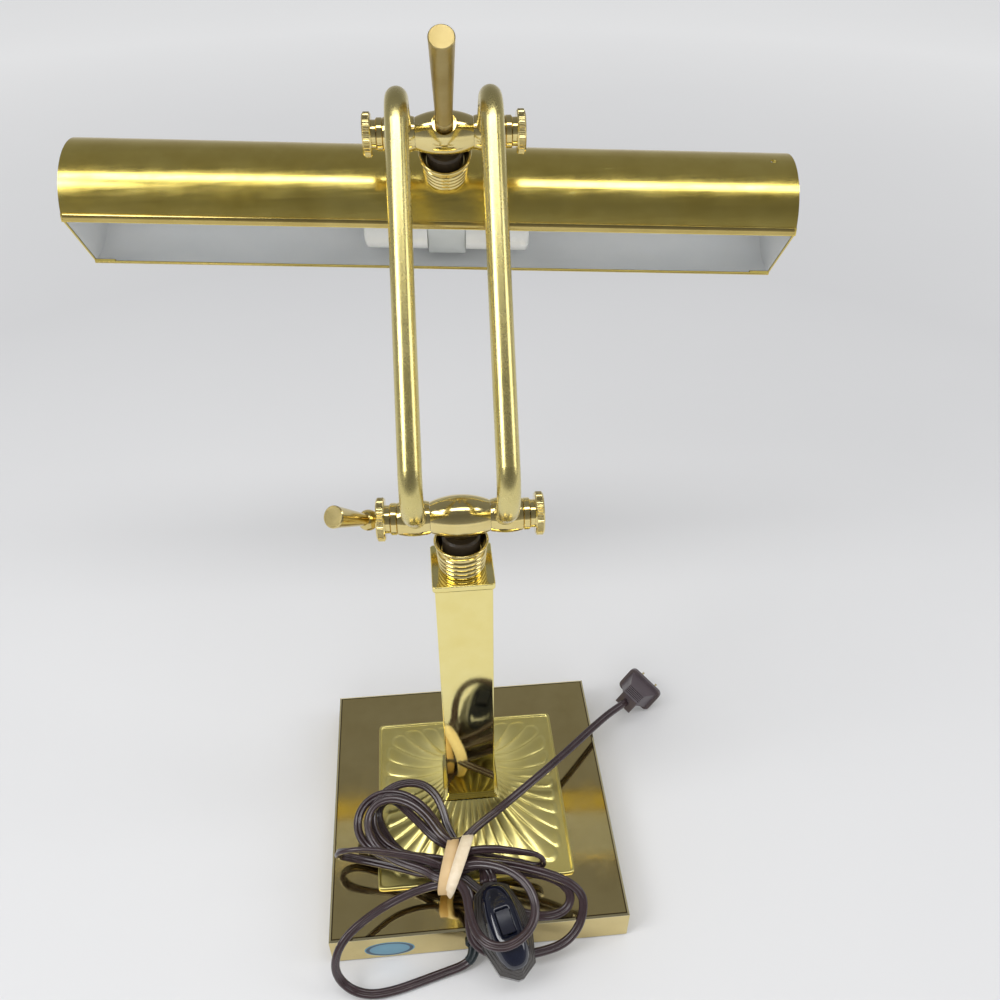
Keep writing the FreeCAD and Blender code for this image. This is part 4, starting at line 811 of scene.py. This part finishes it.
def add_knurl(body, joint_name, side):
    """Ring of teeth round one nut, sunk into it at both ends."""
    centre = Vector(joint_record(joint_name)["pos_m"])
    across = PIVOT_AXIS.cross(Vector((0, 0, 1))).normalized()
    up = across.cross(PIVOT_AXIS)
    start = KNOB_FACE - KNOB_LENGTH + KNOB_EDGE
    end = KNOB_FACE - KNOB_EDGE
    rings = []
    for x, lift in ((start, TOOTH_SUNK), (start + TOOTH_SLOPE, TOOTH_FULL),
                    (end - TOOTH_SLOPE, TOOTH_FULL), (end, TOOTH_SUNK)):
        ring = []
        for k, angle in enumerate(turn_angles(TEETH * len(TOOTH))):
            tooth = TOOTH[k % len(TOOTH)]
            radius = KNOB_RADIUS + (KNURL_PROUD + lift * TOOTH_HEIGHT * tooth) * MM
            spoke = across * math.cos(angle) + up * math.sin(angle)
            ring.append(centre + PIVOT_AXIS * side * x + spoke * radius)
        rings.append(ring)
    bm = bmesh.new()
    skin_rings(bm, rings)
    knurl = link_mesh(body + "_knurl", bm, MATERIALS["turned_brass"], smooth=False)
    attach(knurl, body)


for knob in KNOBS:
    add_knurl(*knob)

# ---- strain relief at the base ------------------------------------------------------------
RELIEF_LENGTH = 11 * MM
RELIEF_RIBS = 5
RELIEF_RIB_DEPTH = 0.035
RELIEF_SIZE = 1.5               # times the cord's section, at the base
RELIEF_TAPER = 0.38
RELIEF_WIDE, RELIEF_HIGH = 0.92, 1.1


def add_relief():
    """Ribbed sleeve that narrows along the cord where it leaves the base."""
    line = centreline("relief", scaled(ROUTE_IN))
    travelled = 0.0
    short, sizes = [line[0]], [RELIEF_SIZE]
    for a, b in zip(line, line[1:]):
        travelled += (b - a).length
        if travelled > RELIEF_LENGTH:
            break
        t = travelled / RELIEF_LENGTH
        rib = RELIEF_RIB_DEPTH * math.sin(2 * math.pi * RELIEF_RIBS * t)
        short.append(b)
        sizes.append(RELIEF_SIZE - RELIEF_TAPER * t + rib)
    section = [(RELIEF_WIDE * x, RELIEF_HIGH * y) for x, y in twin_section()]
    bm = bmesh.new()
    sweep(bm, short, section, sizes=sizes)
    relief = link_mesh("cord_relief", bm, MATERIALS["bushing_black"])
    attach(relief, "base")


add_relief()

# ---- blank label on the front wall --------------------------------------------------------
LABEL_X, LABEL_WALL, LABEL_Z = -0.0552, -0.09, 0.0108
LABEL_WIDTH = 0.030
LABEL_HEIGHT = 0.0165
LABEL_THICK = 0.00012
LABEL_STEPS = 96
LABEL_RINGS = ((1.0, 0.0), (1.0, 0.6), (0.99, 1.0), (0.6, 1.0), (0.05, 1.0))
LABEL_PLAIN = (0.13, 0.30, 0.40)
LABEL_LINE = (0.02, 0.055, 0.10)
LABEL_STOPS = ((0.0, (0.14, 0.31, 0.41)), (0.78, LABEL_PLAIN), (0.82, LABEL_LINE),
               (0.93, LABEL_LINE), (0.96, LABEL_PLAIN))


def label_blue():
    """Blue printed film with a darker line just inside its edge."""
    n = Nodes("label_blue")
    place = n.mapped((1 / LABEL_WIDTH, 0, 1 / LABEL_HEIGHT))
    shift = n.tree.nodes.new("ShaderNodeVectorMath")
    shift.operation = "SUBTRACT"
    shift.inputs[1].default_value = (LABEL_X / LABEL_WIDTH, 0, LABEL_Z / LABEL_HEIGHT)
    n.link(place, shift.inputs[0])
    length = n.tree.nodes.new("ShaderNodeVectorMath")
    length.operation = "LENGTH"
    n.link(shift.outputs["Vector"], length.inputs[0])
    reach = n.math("MULTIPLY", length.outputs["Value"], 2.0)
    n.feed("Base Color", n.ramp(reach, *LABEL_STOPS))
    n.roughen(n.noise(300), 0.28, 0.42)
    n.bump(n.noise(240, 3), 0.3, 0.00006)
    return n.material


def add_label():
    rings = []
    for shrink, depth in LABEL_RINGS:
        ring = []
        for angle in turn_angles(LABEL_STEPS):
            x = LABEL_X + shrink * LABEL_WIDTH / 2 * math.cos(angle)
            z = LABEL_Z + shrink * LABEL_HEIGHT / 2 * math.sin(angle)
            ring.append(Vector((x, LABEL_WALL - LABEL_THICK * depth, z)))
        rings.append(ring)
    bm = bmesh.new()
    skin_rings(bm, rings)
    label = link_mesh("blank_label", bm, label_blue(), smooth=False)
    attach(label, "base")


add_label()

# ---- floor and light ----------------------------------------------------------------------
FLOOR_HALF = 6
# Far from the middle the floor has painted light: a paler colour and a painted glow.
FLOOR_FAR = (0.9, 2.2)          # from the middle: where the floor starts to turn pale and ends
FLOOR_NEAR_COLOUR = (0.71, 0.71, 0.72)
FLOOR_FAR_PAINTED_LIGHT = (0.95, 0.95, 0.955)
FLOOR_CLOUDS = 0.12
FLOOR_PAINTED_GLOW = 0.17

# Name, place, size, power, and whether metal mirrors it.
LIGHTS = (("key", (-1.1, -0.5, 1.4), (0.7, 0.7), 9, True),
          ("fill", (1.5, -0.3, 1.1), (0.5, 0.9), 4, True),
          ("overhead", (0.0, -0.32, 1.75), (1.7, 0.30), 9, True),
          ("front", (0.0, -2.2, 1.0), (2.0, 1.2), 10, False))
LIGHT_AIM = Vector((0, 0.05, 0.2))

WORLD_COLOUR = (0.56, 0.565, 0.57, 1)
WORLD_LEVELS = ((0.0, 0.50), (0.25, 0.34), (0.6, 0.23), (1.0, 0.20))
WORLD_BLUE = 1.03
WORLD_SIDES = (("From Min", -1.0), ("From Max", 0.3), ("To Min", 0.55), ("To Max", 1.0))


def add_floor():
    """Pale floor with painted light: painted paler far away, and with a painted glow there where
    the camera, mirrors and glass see it.
    """
    bm = bmesh.new()
    corners = ((-1, -1), (1, -1), (1, 1), (-1, 1))
    bm.faces.new([bm.verts.new((FLOOR_HALF * x, FLOOR_HALF * y, 0)) for x, y in corners])
    n = Nodes("floor")
    reach = n.tree.nodes.new("ShaderNodeVectorMath")
    reach.operation = "LENGTH"
    n.link(n.coords, reach.inputs[0])
    far = n.spread(reach.outputs["Value"], 0.0, 1.0, *FLOOR_FAR)
    cloud = n.math("ADD", n.math("MULTIPLY", far, 1 - FLOOR_CLOUDS),
                   n.math("MULTIPLY", n.noise(3), FLOOR_CLOUDS))
    n.feed("Base Color", n.ramp(cloud, (0.0, FLOOR_NEAR_COLOUR), (1.0, FLOOR_FAR_PAINTED_LIGHT)))
    path = n.tree.nodes.new("ShaderNodeLightPath")
    seen = n.math("MAXIMUM", path.outputs["Is Camera Ray"], path.outputs["Is Glossy Ray"])
    seen = n.math("MAXIMUM", seen, path.outputs["Is Transmission Ray"])
    n.feed("Emission Strength", n.math("MULTIPLY", n.math("MULTIPLY", seen, far), FLOOR_PAINTED_GLOW))
    n.set(Roughness=0.7, Emission_Color=(1, 1, 1, 1))
    floor = link_mesh("floor", bm, n.material, smooth=False)


def add_light(name, place, size, power, mirrored):
    data = bpy.data.lights.new(name, "AREA")
    data.shape = "RECTANGLE"
    data.size, data.size_y = size
    data.energy = power
    lamp = bpy.data.objects.new(name, data)
    lamp.location = place
    lamp.visible_glossy = mirrored
    aim = LIGHT_AIM - Vector(place)
    lamp.rotation_euler = aim.to_track_quat("-Z", "Y").to_euler()
    bpy.context.scene.collection.objects.link(lamp)


def add_world():
    """Even pale surroundings; what metal reflects is darker overhead and behind the viewer."""
    world = bpy.data.worlds.new("world")
    world.use_nodes = True
    bpy.context.scene.world = world
    nodes, links = world.node_tree.nodes, world.node_tree.links
    background = nodes["Background"]
    coords = nodes.new("ShaderNodeTexCoord")
    split = nodes.new("ShaderNodeSeparateXYZ")
    links.new(coords.outputs["Generated"], split.inputs["Vector"])
    ramp = nodes.new("ShaderNodeValToRGB")
    set_stops(ramp, [(at, (level, level, level * WORLD_BLUE)) for at, level in WORLD_LEVELS])
    links.new(split.outputs["Z"], ramp.inputs["Fac"])
    side = nodes.new("ShaderNodeMapRange")
    for name, value in WORLD_SIDES:
        side.inputs[name].default_value = value
    links.new(split.outputs["Y"], side.inputs["Value"])
    dim = nodes.new("ShaderNodeVectorMath")
    dim.operation = "SCALE"
    links.new(ramp.outputs["Color"], dim.inputs["Vector"])
    links.new(side.outputs["Result"], dim.inputs["Scale"])
    path = nodes.new("ShaderNodeLightPath")
    mix = nodes.new("ShaderNodeMixRGB")
    mix.inputs["Color1"].default_value = WORLD_COLOUR
    links.new(path.outputs["Is Glossy Ray"], mix.inputs["Fac"])
    links.new(dim.outputs["Vector"], mix.inputs["Color2"])
    links.new(mix.outputs["Color"], background.inputs["Color"])
    background.inputs["Strength"].default_value = 1.0


add_floor()
for light in LIGHTS:
    add_light(*light)
add_world()
bpy.context.scene.view_settings.view_transform = "Standard"
